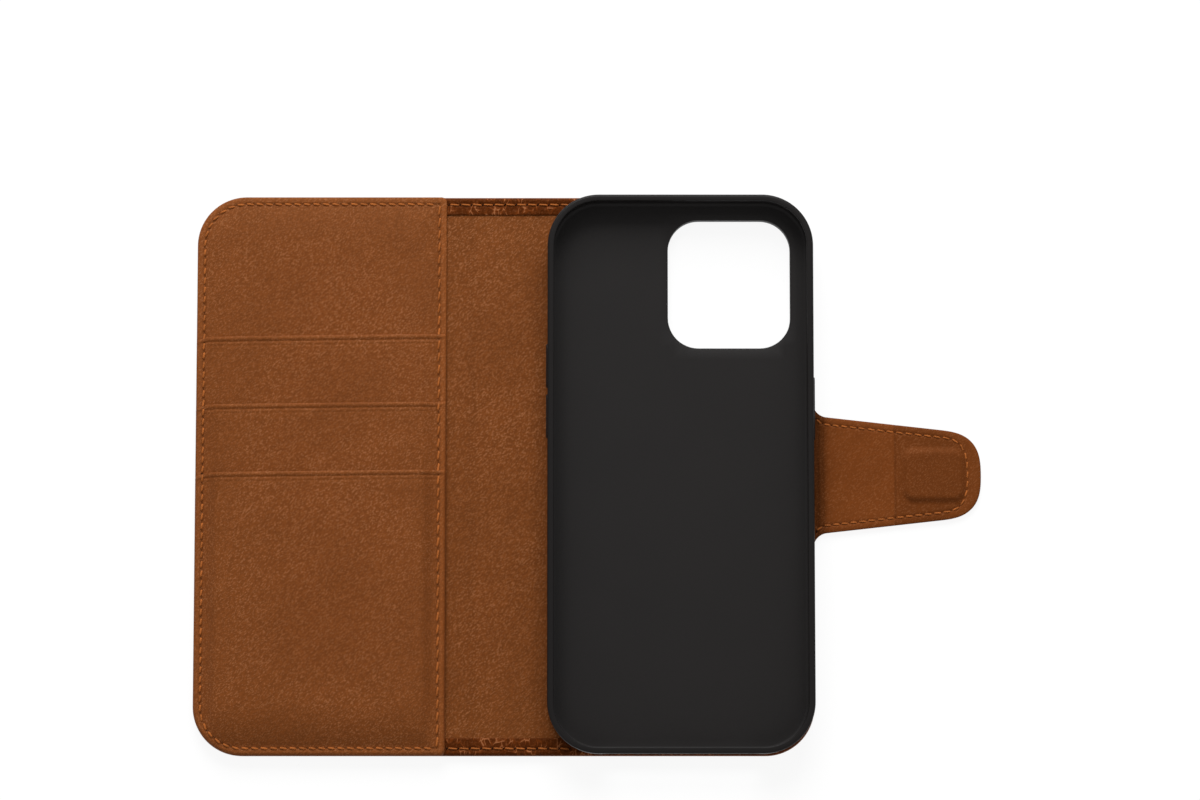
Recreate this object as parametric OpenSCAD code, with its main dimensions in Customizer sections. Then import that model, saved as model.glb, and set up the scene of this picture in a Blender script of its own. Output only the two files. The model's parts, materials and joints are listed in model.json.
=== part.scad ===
// Leather folio case: slip pockets in the front cover, a moulded tray on the back panel and a strap with a
// magnet that wraps the closed case. It lies open, inside up, with the folds along Y and Z pointing up.

/* [Tray] */
// Height of the space inside the tray
tray_in_h = 160.8; // [140:0.1:175]
// Width of the space inside the tray
tray_in_w = 75.3; // [65:0.1:85]
// Depth of the space under the tray's lip
tray_in_t = 8.15; // [7:0.05:11]
// Corner radius of the space inside the tray
tray_in_r = 13.8; // [8:0.1:18]
// Thickness of the tray's walls
tray_wall = 1.2; // [1.1:0.1:2]
// Thickness of the tray's floor
tray_floor = 1; // [0.8:0.1:2]
// Thickness of the lip around the tray's mouth
lip_t = 0.8; // [0.5:0.1:1.5]
// How far the lip reaches in over the tray
lip_reach = 0.7; // [0.3:0.1:1.2]

/* [Tray openings] */
// Width of the camera window
window_w = 36; // [20:0.5:45]
// Height of the camera window
window_h = 38; // [20:0.5:60]
// Corner radius of the camera window
window_r = 9; // [3:0.5:10]
// Distance from the tray's inner walls to the camera window
window_inset = 5.2; // [5.2:0.1:12]
// Thickness of the collar that lines the window
collar_t = 1; // [0.6:0.1:1.2]
// Height of the collar's rim above the outer face of the leather
collar_rise = 0.3; // [0.1:0.1:0.8]
// Width of the charging opening in the lower wall
port_w = 46; // [12:0.5:50]
// Height of the charging opening
port_h = 5.6; // [4.6:0.1:6.4]

/* [Buttons] */
// Height of every button
button_h = 2.8; // [2:0.1:4]
// Length of each volume button
volume_len = 13; // [8:0.1:14]
// Distance from the tray's upper wall to the middle of the upper volume button
volume_drop = 48.9; // [35:0.1:60]
// Distance between the middles of the two volume buttons
volume_pitch = 14.8; // [14.8:0.1:25]
// Length of the side button
side_len = 18.6; // [8:0.1:24]
// Distance from the tray's upper wall to the middle of the side button
side_drop = 61.5; // [35:0.1:80]
// How far the buttons stand out of the tray's wall
button_proud = 0.45; // [0.4:0.05:0.8]
// Thickness of the flange that keeps a button in
flange_t = 0.5; // [0.3:0.05:0.6]
// How far that flange reaches past the button all round
flange_reach = 0.7; // [0.4:0.1:1]

/* [Leather] */
// Thickness of the outer leather
outer_t = 1; // [0.8:0.1:1.4]
// Thickness of the boards inside
board_t = 0.6; // [0.4:0.1:1.2]
// Thickness of the lining
lining_t = 0.5; // [0.4:0.1:0.8]
// Thickness of the turned hem
hem_t = 0.5; // [0.4:0.1:0.8]
// Width of the turned hem
hem_w = 5.2; // [4:0.1:6]
// Thickness of the leather where it turns round the edge
edge_t = 0.6; // [0.4:0.1:1]
// Corner radius of the panels
corner_r = 14.4; // [8:0.1:20]
// Leather beyond the tray at the top and bottom
margin_y = 0.6; // [0.2:0.1:3]
// Leather beyond the tray at the free edge
margin_x = 0.2; // [0.1:0.1:3]

/* [Pockets] */
// Thickness of the base sheet of the pockets
panel_t = 0.6; // [0.4:0.1:1]
// Thickness of each slip pocket's leather
pocket_t = 0.5; // [0.4:0.1:0.8]
// Clear width of a slip pocket
pocket_in_w = 58.4; // [54.4:0.1:62]
// Clear thickness of a slip pocket
pocket_in_t = 0.85; // [0.8:0.05:1.2]
// Depth of a slip pocket below its mouth
pocket_depth = 70; // [60:0.5:72]
// Distance from the bottom edge to the foot of the lower slip pocket
foot_rise = 13; // [11:0.1:20]
// Distance between the mouths of the slip pockets
mouth_pitch = 20.1; // [12:0.1:22]
// Width of the stitched seam along the pockets
seam_w = 3; // [2.9:0.1:4]
// Distance from the cover fold to the edge of the pocket sheets
panel_setback = 7.9; // [4:0.1:12]
// Corner radius of the pocket sheets beside the fold
panel_r = 1.5; // [0.5:0.1:4]

/* [Strap] */
// Width of the strap where it leaves the back panel
strap_root_w = 35; // [30:0.1:44]
// Radius of the strap's round tip
tip_r = 13.4; // [11:0.1:14]
// Length of the strap beyond its second fold
tip_len = 25.1; // [23:0.1:35]
// Radius of the flare at the strap's root
flare_r = 4.5; // [3:0.1:8]
// Length of the magnet along the strap
magnet_w = 14.5; // [8:0.1:15]
// Width of the magnet across the strap
magnet_h = 12; // [8:0.1:13]
// Thickness of the magnet
magnet_t = 0.8; // [0.5:0.1:1.5]
// Distance from the second fold to the middle of the magnet
magnet_reach = 11.3; // [10.8:0.1:13]
// Width of the slope around the pad that covers the magnet
pad_slope = 0.8; // [0.4:0.1:1.2]
// Length of the steel keeper plate across the cover
keeper_w = 13; // [8:0.1:14]
// Height of the steel keeper plate along the cover
keeper_h = 20; // [10:0.1:30]

/* [Stitches] */
// Thickness of the thread as it lies on the leather
thread_h = 0.3; // [0.2:0.05:0.4]
// Width of the thread
thread_w = 0.55; // [0.3:0.05:0.7]
// Distance from an edge to its stitches
stitch_inset = 2.2; // [1.8:0.1:2.4]
// Distance from one stitch to the next
stitch_pitch = 2.8; // [2:0.1:5]
// Distance from one stitch to the next beside the mouth of the long pocket
mouth_stitch_pitch = 3.6; // [2:0.1:5]
// Share of the pitch that shows as thread
stitch_share = 0.72; // [0.5:0.01:0.85]

/* [Clearances] */
// Space left between the layers on the two sides of a closed fold
fold_clear = 0.2; // [0.1:0.05:0.5]
// Space between the closed case's pockets and the tray
closing_clear = 0.8; // [0.3:0.1:3]
// Space between a standing spine or strap and the buttons
side_clear = 0.35; // [0.3:0.05:1]
// Space between the wrapped strap and the closed cover
strap_clear = 0.25; // [0.2:0.05:1]
// Space around a button in its opening
button_clear = 0.15; // [0.1:0.05:0.3]
// Space around boards, plates and sheets that lie inside the leather
lay_clear = 0.1; // [0.05:0.05:0.3]

/* [Hidden] */
$fn = 96;
// How far a cut runs past the face that it opens
over = 1;
// Thickness of the slices that sloping shapes are stretched between
sliver = 0.01;
pocket_count = 3;
// Straight steps in the strap's round tip and in each of its flares
tip_steps = 40;
flare_steps = 10;

// Heights of the layers
hinge_z = outer_t / 2;
lining_z = outer_t + board_t;
base_top = lining_z + lining_t;
hem_top = base_top + hem_t;
panel_top = hem_top + panel_t;
pockets_top = panel_top + pocket_count * (pocket_t + pocket_in_t);
tray_mid_z = hem_top + tray_floor + tray_in_t / 2;
lip_z = hem_top + tray_floor + tray_in_t;
tray_top = lip_z + lip_t;
strap_t = outer_t + lining_t;
magnet_top = outer_t + magnet_t + lay_clear;
pad_top = magnet_top + lining_t;

// Sizes of the tray and of the panels
tray_w = tray_in_w + 2 * tray_wall;
tray_h = tray_in_h + 2 * tray_wall;
tray_r = tray_in_r + tray_wall;
case_h = tray_h + 2 * margin_y;
tray_gap = hem_top - hinge_z + button_proud + side_clear;
back_w = tray_gap + tray_w + margin_x;
cover_w = back_w;
panel_w = cover_w - panel_setback;
spine_w = tray_top + pockets_top + closing_clear - 2 * hinge_z;
closed_t = spine_w + 2 * hinge_z;

// Distances from a fold line at which the layers stop, so that the closed fold has room
outer_setback = outer_t - hinge_z + fold_clear;
layer_setback = hem_top + thread_h - hinge_z + fold_clear;
strap_setback = strap_t + thread_h - hinge_z + fold_clear;

// Places along X, from the free edge of the cover to the tip of the strap
strap_fold_gap = strap_t + thread_h - hinge_z + button_proud + side_clear - margin_x;
strap_side_len = closed_t + strap_clear + pad_top - 2 * hinge_z;
total_w = cover_w + spine_w + back_w + strap_fold_gap + strap_side_len + tip_len;
free_x = -total_w / 2;
cover_fold_x = free_x + cover_w;
spine_fold_x = cover_fold_x + spine_w;
back_edge_x = spine_fold_x + back_w;
strap_fold_x = back_edge_x + strap_fold_gap;
crease_x = strap_fold_x + strap_side_len;
tip_x = crease_x + tip_len;
tray_left = spine_fold_x + tray_gap;
tray_x = tray_left + tray_w / 2;
tray_right = tray_left + tray_w;
window_x = tray_right - tray_wall - window_inset - window_w / 2;
window_y = tray_in_h / 2 - window_inset - window_h / 2;
magnet_x = crease_x + magnet_reach;
keeper_x = cover_fold_x - (strap_fold_x - magnet_reach - spine_fold_x);

// Shape of the strap: its edges run from the root to the round tip
strap_half = strap_root_w / 2;
tip_centre_x = tip_x - tip_r;
strap_run = tip_centre_x - back_edge_x;
taper = acos(tip_r / norm([strap_run, strap_half])) - atan2(strap_run, strap_half);
flare_y = strap_half + flare_r * (1 - sin(taper)) / cos(taper);

// Shape of the pockets
pocket_slope = (panel_w - 2 * seam_w - pocket_in_w) / 2;

function mouth_y(i) = foot_rise - case_h / 2 + pocket_depth + (pocket_count - 1 - i) * mouth_pitch;
function flange_z(i) = panel_top + i * pocket_t;

// Colours
leather_colour = [0.45, 0.25, 0.12];
lining_colour = [0.47, 0.28, 0.14];
thread_colour = [0.62, 0.38, 0.22];
board_colour = [0.55, 0.52, 0.47];
tray_colour = [0.12, 0.11, 0.11];
steel_colour = [0.62, 0.63, 0.65];
bond_colour = [0.85, 0.84, 0.8];

// Shapes used by several pieces

module slab(z, t) {
    translate([0, 0, z]) linear_extrude(t) children();
}

module rounded_rect(w, h, r) {
    square([w - 2 * r, h], center = true);
    square([w, h - 2 * r], center = true);
    for (sx = [-1, 1], sy = [-1, 1])
        translate([sx * (w / 2 - r), sy * (h / 2 - r)]) circle(r);
}

module pill(len, h) {
    square([len - h, h], center = true);
    for (s = [-1, 1]) translate([s * (len - h) / 2, 0]) circle(d = h);
}

// Outline of a panel with its round-cornered free edge at x = 0 and its fold edge at x = w
module panel_outline(w, inset = 0) {
    h = case_h - 2 * inset;
    r = corner_r - inset;
    translate([inset, 0]) {
        translate([r, -h / 2]) square([w - inset - r, h]);
        translate([0, r - h / 2]) square([r, h - 2 * r]);
        for (s = [-1, 1]) translate([r, s * (h / 2 - r)]) circle(r);
    }
}

module at_cover() {
    translate([free_x, 0, 0]) children();
}

module at_back() {
    translate([back_edge_x, 0, 0]) mirror([1, 0, 0]) children();
}

// Leather panel whose three free edges turn over the board and the lining
module turned_leather(w) {
    difference() {
        slab(0, hem_top) panel_outline(w - outer_setback);
        slab(outer_t, board_t + lining_t) panel_outline(w, edge_t);
        slab(base_top - sliver, hem_t + over) panel_outline(w, hem_w);
        translate([w - layer_setback, -case_h, outer_t]) cube([w, 2 * case_h, hem_top]);
    }
}

// Flat layer inside a turned leather panel
module inner_layer(w, z, t) {
    slab(z, t) panel_outline(w - layer_setback, edge_t + lay_clear);
}

// Turned hems along the top and bottom edges, from x = a to x = b
module edge_hems(a, b) {
    for (s = [0, 1]) mirror([0, s, 0]) {
        translate([a, case_h / 2 - edge_t, outer_t]) cube([b - a, edge_t, hem_top - outer_t]);
        translate([a, case_h / 2 - hem_w, base_top]) cube([b - a, hem_w, hem_t]);
    }
}

// Strip of full height from x = a to x = b, inside the turned edges
module lining_strip(a, b, z, t) {
    h = case_h - 2 * (edge_t + lay_clear);
    translate([a, -h / 2, z]) cube([b - a, h, t]);
}

// Leather of a fold between two panels, with its hems
module fold_leather(x) {
    translate([x - outer_setback, -case_h / 2, 0]) cube([2 * outer_setback, case_h, outer_t]);
    edge_hems(x - layer_setback, x + layer_setback);
}

module fold_lining(x) {
    lining_strip(x - layer_setback, x + layer_setback, lining_z, lining_t);
}

// One stitch along X, lying on the surface at height z
module stitch(pitch, z) {
    len = pitch * stitch_share;
    translate([-len / 2, -thread_w / 2, z]) cube([len, thread_w, thread_h]);
}

// Straight row of stitches that fills the line from a to b
module stitch_row(a, b, z, pitch = stitch_pitch) {
    run = b - a;
    n = max(1, floor(norm(run) / pitch));
    for (i = [0 : n - 1])
        translate(a + run * (i + 0.5) / n) rotate(atan2(run.y, run.x)) stitch(norm(run) / n, z);
}

// Row of stitches round an arc, from angle a to angle b
module stitch_arc(centre, r, a, b, z) {
    n = max(1, round(abs(b - a) / 180 * PI * r / stitch_pitch));
    for (i = [0 : n - 1])
        translate(centre) rotate(a + (b - a) * (i + 0.5) / n) translate([r, 0])
            rotate(90) stitch(abs(b - a) / 180 * PI * r / n, z);
}

// Points of an arc from angle a to angle b
function arc_points(centre, r, a, b, steps) =
    [for (i = [0 : steps]) centre + r * [cos(a + (b - a) * i / steps), sin(a + (b - a) * i / steps)]];

module strap_outline() {
    flare_centre = [back_edge_x + flare_r, flare_y];
    upper_flare = arc_points(flare_centre, flare_r, 180, 270 - taper, flare_steps);
    tip = arc_points([tip_centre_x, 0], tip_r, 90 - taper, taper - 90, tip_steps);
    lower_flare = [for (i = [flare_steps : -1 : 0]) [upper_flare[i].x, -upper_flare[i].y]];
    polygon(concat(upper_flare, tip, lower_flare));
}

// Stretch of the strap from x = a to x = b
module strap_piece(a, b, z, t) {
    intersection() {
        slab(z, t) strap_outline();
        translate([a, -case_h / 2, z]) cube([b - a, case_h, t]);
    }
}

// Two rows of stitches along the strap's edges from x = a to x = b
module strap_rows(a, b) {
    for (s = [-1, 1]) {
        points = [for (x = [a, b])
            [x, s * (strap_half - (x - back_edge_x) * tan(taper) - stitch_inset / cos(taper))]];
        stitch_row(points[0], points[1], strap_t);
    }
}

// Block whose sides slope in from one rectangle to a smaller one above it
module sloped_block(base, top, z0, z1) {
    hull() {
        slab(z0 - sliver, sliver) square(base, center = true);
        slab(z1 - sliver, sliver) square(top, center = true);
    }
}

// Raised part of a slip pocket, open at its mouth and sloping at its sides and foot, with the foot's corners
// cut off where the seam turns
module pocket_rise(i, z, mouth_over = 0) {
    h = pocket_depth + mouth_over;
    base_w = panel_w - 2 * seam_w;
    translate([seam_w, mouth_y(i) - pocket_depth]) hull() {
        slab(z - sliver, sliver) polygon([
            [0, h], [0, 0], [pocket_slope, -pocket_slope],
            [base_w - pocket_slope, -pocket_slope], [base_w, 0], [base_w, h]
        ]);
        slab(z + (i + 1) * pocket_in_t - sliver, sliver)
            translate([pocket_slope, 0]) square([pocket_in_w, h]);
    }
}

// Outline of the pocket sheets, with small corners beside the fold
module pocket_sheet_outline() {
    panel_outline(panel_w - panel_r);
    translate([panel_w - 2 * panel_r, panel_r - case_h / 2])
        square([2 * panel_r, case_h - 2 * panel_r]);
    for (s = [-1, 1]) translate([panel_w - panel_r, s * (case_h / 2 - panel_r)]) circle(panel_r);
}

// Block over the clear width and depth of a slip pocket
module pocket_block(i, z, t, mouth_over = 0) {
    slab(z, t) translate([seam_w + pocket_slope, mouth_y(i) - pocket_depth])
        square([pocket_in_w, pocket_depth + mouth_over]);
}

// Flat front sheet of a slip pocket
module slip_pocket(i) {
    at_cover() pocket_block(i, flange_z(i) + (i + 1) * pocket_in_t, pocket_t);
}

// Sloping sides and foot that carry a slip pocket's front, with the flat seam around them
module pocket_gusset(i) {
    at_cover() difference() {
        union() {
            slab(flange_z(i), pocket_t) intersection() {
                pocket_sheet_outline();
                translate([0, -case_h]) square([panel_w, case_h + mouth_y(i)]);
            }
            pocket_rise(i, flange_z(i) + pocket_t);
        }
        pocket_rise(i, flange_z(i), over);
        pocket_block(i, flange_z(i), pockets_top, over);
    }
}

// Outline of the camera window, grown by g on every side
module window_outline(g = 0) {
    translate([window_x, window_y]) rounded_rect(window_w + 2 * g, window_h + 2 * g, window_r + g);
}

module window_cut() {
    slab(-over, hem_top + 2 * over) window_outline(collar_t + lay_clear);
}

// Pill-shaped block through a side wall, from x = a to x = b
module wall_pill(a, b, y, len, h) {
    translate([a, y, tray_mid_z]) rotate([90, 0, 90]) linear_extrude(b - a) pill(len, h);
}

// Button seen in the left wall: the head stands out of the wall and the flange lies behind it
module button(y, len) {
    seat = tray_left + tray_wall - flange_t - lay_clear;
    wall_pill(tray_left - button_proud, seat, y, len, button_h);
    wall_pill(seat, seat + flange_t, y, len + 2 * flange_reach, button_h + 2 * flange_reach);
}

module button_opening(y, len) {
    seat = tray_left + tray_wall - flange_t - lay_clear;
    grow = 2 * button_clear;
    flange_grow = grow + 2 * flange_reach;
    wall_pill(tray_left - over, tray_left + tray_wall + over, y, len + grow, button_h + grow);
    wall_pill(seat, tray_left + tray_wall + over, y, len + flange_grow, button_h + flange_grow);
}

// Moves what is built in the left wall to the right wall
module at_right_wall() {
    translate([2 * tray_x, 0, 0]) mirror([1, 0, 0]) children();
}

volume_up_y = tray_in_h / 2 - volume_drop;
volume_down_y = volume_up_y - volume_pitch;
side_y = tray_in_h / 2 - side_drop;

// Back panel

module back_outer_leather() {
    color(leather_colour) difference() {
        union() {
            at_back() turned_leather(back_w);
            strap_piece(back_edge_x, strap_fold_x - outer_setback, 0, outer_t);
        }
        window_cut();
    }
}

module back_board() {
    color(board_colour) difference() {
        at_back() inner_layer(back_w, outer_t, board_t);
        window_cut();
    }
}

module back_lining() {
    color(lining_colour) difference() {
        at_back() inner_layer(back_w, lining_z, lining_t);
        window_cut();
    }
}

module tray_bond() {
    color(bond_colour) difference() {
        intersection() {
            at_back() slab(base_top, hem_t) panel_outline(back_w - tray_gap - tray_wall, hem_w + lay_clear);
            slab(base_top - over, hem_t + 2 * over) translate([tray_x, 0])
                rounded_rect(tray_in_w, tray_in_h, tray_in_r);
        }
        window_cut();
    }
}

module tray_shell() {
    color(tray_colour) difference() {
        union() {
            slab(hem_top, tray_top - hem_top) translate([tray_x, 0]) rounded_rect(tray_w, tray_h, tray_r);
            slab(collar_rise, hem_top - collar_rise + sliver) window_outline(collar_t);
        }
        slab(hem_top + tray_floor, tray_in_t) translate([tray_x, 0])
            rounded_rect(tray_in_w, tray_in_h, tray_in_r);
        slab(lip_z - sliver, lip_t + over) translate([tray_x, 0])
            rounded_rect(tray_in_w - 2 * lip_reach, tray_in_h - 2 * lip_reach, tray_in_r - lip_reach);
        slab(-over, hem_top + tray_floor + 2 * over) window_outline();
        translate([tray_x, -tray_in_h / 2 + over, tray_mid_z]) rotate([90, 0, 0])
            linear_extrude(tray_wall + 2 * over) pill(port_w, port_h);
        button_opening(volume_up_y, volume_len);
        button_opening(volume_down_y, volume_len);
        at_right_wall() button_opening(side_y, side_len);
    }
}

module volume_up_button() {
    color(tray_colour) button(volume_up_y, volume_len);
}

module volume_down_button() {
    color(tray_colour) button(volume_down_y, volume_len);
}

module side_button() {
    color(tray_colour) at_right_wall() button(side_y, side_len);
}

module back_hem_stitches() {
    y = case_h / 2 - stitch_inset;
    corner_dy = y - thread_w / 2 - (tray_h / 2 - tray_r);
    end_x = tray_left + tray_r - sqrt(tray_r * tray_r - corner_dy * corner_dy) - thread_w;
    color(thread_colour) for (s = [-1, 1])
        stitch_row([spine_fold_x + layer_setback, s * y], [end_x, s * y], hem_top);
}

// Folds of the case

module spine_fold_leather() {
    color(leather_colour) fold_leather(spine_fold_x);
}

module spine_fold_lining() {
    color(lining_colour) fold_lining(spine_fold_x);
}

module cover_fold_leather() {
    color(leather_colour) fold_leather(cover_fold_x);
}

module cover_fold_lining() {
    color(lining_colour) fold_lining(cover_fold_x);
}

// Spine

module spine_outer_leather() {
    a = cover_fold_x + outer_setback;
    color(leather_colour) {
        translate([a, -case_h / 2, 0]) cube([spine_w - 2 * outer_setback, case_h, outer_t]);
        edge_hems(cover_fold_x + layer_setback, spine_fold_x - layer_setback);
    }
}

module spine_board() {
    color(board_colour)
        lining_strip(cover_fold_x + layer_setback, spine_fold_x - layer_setback, outer_t, board_t);
}

module spine_lining() {
    color(lining_colour)
        lining_strip(cover_fold_x + layer_setback, spine_fold_x - layer_setback, lining_z, lining_t);
}

module spine_hem_stitches() {
    color(thread_colour) for (s = [-1, 1]) {
        y = s * (case_h / 2 - stitch_inset);
        stitch_row([cover_fold_x + layer_setback, y], [spine_fold_x - layer_setback, y], hem_top);
    }
}

// Front cover

module cover_outer_leather() {
    color(leather_colour) at_cover() turned_leather(cover_w);
}

module cover_board() {
    color(board_colour) difference() {
        at_cover() inner_layer(cover_w, outer_t, board_t);
        slab(outer_t - over, board_t + 2 * over) translate([keeper_x, 0])
            square([keeper_w + 2 * lay_clear, keeper_h + 2 * lay_clear], center = true);
    }
}

module keeper_plate() {
    color(steel_colour) slab(outer_t, board_t) translate([keeper_x, 0])
        square([keeper_w, keeper_h], center = true);
}

module cover_lining() {
    color(lining_colour) at_cover() inner_layer(cover_w, lining_z, lining_t);
}

module pocket_panel() {
    color(leather_colour) at_cover() slab(hem_top, panel_t) pocket_sheet_outline();
}

module slip_pocket_upper() {
    color(leather_colour) slip_pocket(0);
}

module slip_pocket_middle() {
    color(leather_colour) slip_pocket(1);
}

module slip_pocket_lower() {
    color(leather_colour) slip_pocket(2);
}

module upper_pocket_gusset() {
    color(leather_colour) pocket_gusset(0);
}

module middle_pocket_gusset() {
    color(leather_colour) pocket_gusset(1);
}

module lower_pocket_gusset() {
    color(leather_colour) pocket_gusset(2);
}

module pocket_seam_stitches() {
    left = stitch_inset;
    right = panel_w - stitch_inset;
    top = case_h / 2 - stitch_inset;
    bottom = -top;
    arc_y = case_h / 2 - corner_r;
    arc_r = corner_r - stitch_inset;
    // Ends of the stretches of the seam that lie at one height, from the top down
    side_ends = [for (i = [-1 : pocket_count]) i < 0 ? arc_y : i < pocket_count ? mouth_y(i) : -arc_y];
    mouth_ends = [for (i = [-1 : pocket_count]) i < 0 ? top : i < pocket_count ? mouth_y(i) : bottom];
    color(thread_colour) at_cover() {
        for (i = [0 : pocket_count]) {
            stitch_row([left, side_ends[i]], [left, side_ends[i + 1]], flange_z(i));
            stitch_row([right, mouth_ends[i]], [right, mouth_ends[i + 1]], flange_z(i), mouth_stitch_pitch);
        }
        stitch_row([corner_r, top], [right - stitch_pitch / 2, top], panel_top);
        stitch_row([corner_r, bottom], [right - stitch_pitch / 2, bottom], flange_z(pocket_count));
        stitch_arc([corner_r, arc_y], arc_r, 90, 180, panel_top);
        stitch_arc([corner_r, -arc_y], arc_r, 180, 270, flange_z(pocket_count));
    }
}

// Strap

module strap_fold_leather() {
    color(leather_colour)
        strap_piece(strap_fold_x - outer_setback, strap_fold_x + outer_setback, 0, outer_t);
}

module strap_fold_lining() {
    color(lining_colour) strap_piece(back_edge_x, strap_fold_x + strap_setback, outer_t, lining_t);
}

module strap_side_leather() {
    color(leather_colour)
        strap_piece(strap_fold_x + outer_setback, crease_x - outer_setback, 0, outer_t);
}

module strap_side_lining() {
    color(lining_colour)
        strap_piece(strap_fold_x + strap_setback, crease_x - strap_setback, outer_t, lining_t);
}

module strap_side_stitches() {
    color(thread_colour) strap_rows(strap_fold_x + flare_r, crease_x - strap_setback);
}

module strap_crease_leather() {
    color(leather_colour) strap_piece(crease_x - outer_setback, crease_x + outer_setback, 0, outer_t);
}

module strap_crease_lining() {
    color(lining_colour)
        strap_piece(crease_x - strap_setback, crease_x + strap_setback, outer_t, lining_t);
}

module strap_tip_leather() {
    color(leather_colour) strap_piece(crease_x + outer_setback, tip_x, 0, outer_t);
}

module strap_tip_lining() {
    foot = 2 * pad_slope * [1, 1];
    inside = [magnet_w, magnet_h] + 2 * lay_clear * [1, 1];
    outside = inside + 2 * lining_t * [1, 1];
    color(lining_colour) difference() {
        union() {
            strap_piece(crease_x + strap_setback, tip_x, outer_t, lining_t);
            translate([magnet_x, 0, 0]) sloped_block(outside + foot, outside, strap_t, pad_top);
        }
        translate([magnet_x, 0, 0]) sloped_block(inside + foot, inside, outer_t, magnet_top);
    }
}

module clasp_magnet() {
    color(steel_colour) slab(outer_t, magnet_t) translate([magnet_x, 0])
        square([magnet_w, magnet_h], center = true);
}

module strap_tip_stitches() {
    color(thread_colour) {
        strap_rows(crease_x + strap_setback, tip_centre_x + tip_r * sin(taper));
        stitch_arc([tip_centre_x, 0], tip_r - stitch_inset, taper - 90, 90 - taper, strap_t);
    }
}

back_outer_leather();
back_board();
back_lining();
tray_bond();
tray_shell();
volume_up_button();
volume_down_button();
side_button();
back_hem_stitches();
spine_fold_leather();
spine_fold_lining();
spine_outer_leather();
spine_board();
spine_lining();
spine_hem_stitches();
cover_fold_leather();
cover_fold_lining();
cover_outer_leather();
cover_board();
keeper_plate();
cover_lining();
pocket_panel();
slip_pocket_upper();
slip_pocket_middle();
slip_pocket_lower();
upper_pocket_gusset();
middle_pocket_gusset();
lower_pocket_gusset();
pocket_seam_stitches();
strap_fold_leather();
strap_fold_lining();
strap_side_leather();
strap_side_lining();
strap_side_stitches();
strap_crease_leather();
strap_crease_lining();
strap_tip_leather();
strap_tip_lining();
clasp_magnet();
strap_tip_stitches();
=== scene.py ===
"""Look of a leather folio case: its leather, seams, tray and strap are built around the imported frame."""

import json
import math

import bmesh
import bpy
from bpy.props import FloatProperty, FloatVectorProperty, PointerProperty
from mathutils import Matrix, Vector, kdtree, noise
from mathutils.geometry import delaunay_2d_cdt


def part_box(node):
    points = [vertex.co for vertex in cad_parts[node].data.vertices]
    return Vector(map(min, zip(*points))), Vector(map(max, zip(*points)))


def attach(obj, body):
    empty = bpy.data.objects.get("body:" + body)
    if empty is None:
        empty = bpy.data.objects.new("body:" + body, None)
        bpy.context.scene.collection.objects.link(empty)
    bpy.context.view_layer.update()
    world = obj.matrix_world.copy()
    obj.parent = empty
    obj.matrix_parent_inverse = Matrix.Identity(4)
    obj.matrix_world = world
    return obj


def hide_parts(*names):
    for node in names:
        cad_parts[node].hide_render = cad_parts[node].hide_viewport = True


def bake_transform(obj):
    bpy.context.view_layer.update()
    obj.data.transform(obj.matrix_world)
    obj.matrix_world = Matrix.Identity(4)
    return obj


bl_info = {
    "name": "Leather folio case",
    "version": (1, 0, 0),
    "blender": (4, 5, 0),
    "location": "3D View > Sidebar > Folio case",
    "description": "Builds the leather, seams, tray, strap and stage of a folio case around its frame",
    "category": "Object",
}

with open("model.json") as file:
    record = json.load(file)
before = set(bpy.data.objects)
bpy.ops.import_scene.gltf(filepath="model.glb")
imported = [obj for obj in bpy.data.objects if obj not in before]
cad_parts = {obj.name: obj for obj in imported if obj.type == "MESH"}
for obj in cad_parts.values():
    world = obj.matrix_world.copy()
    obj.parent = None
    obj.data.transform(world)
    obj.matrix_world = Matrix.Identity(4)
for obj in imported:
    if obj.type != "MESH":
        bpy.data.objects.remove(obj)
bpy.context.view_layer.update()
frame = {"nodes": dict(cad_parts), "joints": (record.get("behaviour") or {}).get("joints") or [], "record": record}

MM = 0.001
QUARTER = math.pi / 2
TURN = 2 * math.pi

# Places and sizes that the frame gives
FOLD_X = {joint["name"]: joint["pos_m"][0] for joint in frame["joints"] if joint["type"] == "hinge"}
OPENINGS = {opening["name"]: opening["box_m"] for opening in frame["record"]["physics"]["openings"]}
FREE_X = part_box("cover_outer_leather")[0].x
HALF_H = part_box("cover_outer_leather")[1].y
HEM_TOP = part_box("cover_outer_leather")[1].z
BACK_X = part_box("strap_fold_lining")[0].x
OUTER_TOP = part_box("strap_side_leather")[1].z
LINING_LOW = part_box("spine_lining")[0].z
LINING_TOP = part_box("spine_lining")[1].z
PANEL_LOW, PANEL_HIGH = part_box("pocket_panel")
TRAY_LOW, TRAY_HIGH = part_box("tray_shell")
STRAP_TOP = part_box("strap_side_lining")[1].z
PAD_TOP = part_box("strap_tip_lining")[1].z
TIP_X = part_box("strap_tip_leather")[1].x
MAGNET_LOW, MAGNET_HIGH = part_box("clasp_magnet")
SPINE_MID = (FOLD_X["spine_fold"] + FOLD_X["cover_fold"]) / 2
STRAP_MID = (FOLD_X["strap_fold"] + FOLD_X["strap_crease"]) / 2
POCKET_NAMES = ("upper", "middle", "lower")
POCKET_FRONTS = [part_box(f"slip_pocket_{name}") for name in POCKET_NAMES]
POCKET_T = POCKET_FRONTS[0][1].z - POCKET_FRONTS[0][0].z
BUTTONS = {"volume_up_button": "volume_up", "volume_down_button": "volume_down", "side_button": "side_key"}

# Details that several pieces share
MOUTH_REACH = 0.55 * MM
PANEL_RIGHT = PANEL_HIGH.x + MOUTH_REACH
GROOVE_WIDTH = 0.45 * MM
CREASE_WIDTH = 1.3 * MM
CUT_CALM = 1.5 * MM
HEM_MARGIN = 0.8 * MM


def length(name, description, default):
    """Property that holds a length."""
    return FloatProperty(name=name, description=description, default=default, min=0, unit="LENGTH",
                         subtype="DISTANCE", precision=5)


def colour(name, description, default):
    """Property that holds a colour."""
    return FloatVectorProperty(name=name, description=description, default=default, min=0, max=1,
                               subtype="COLOR", size=3)


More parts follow.
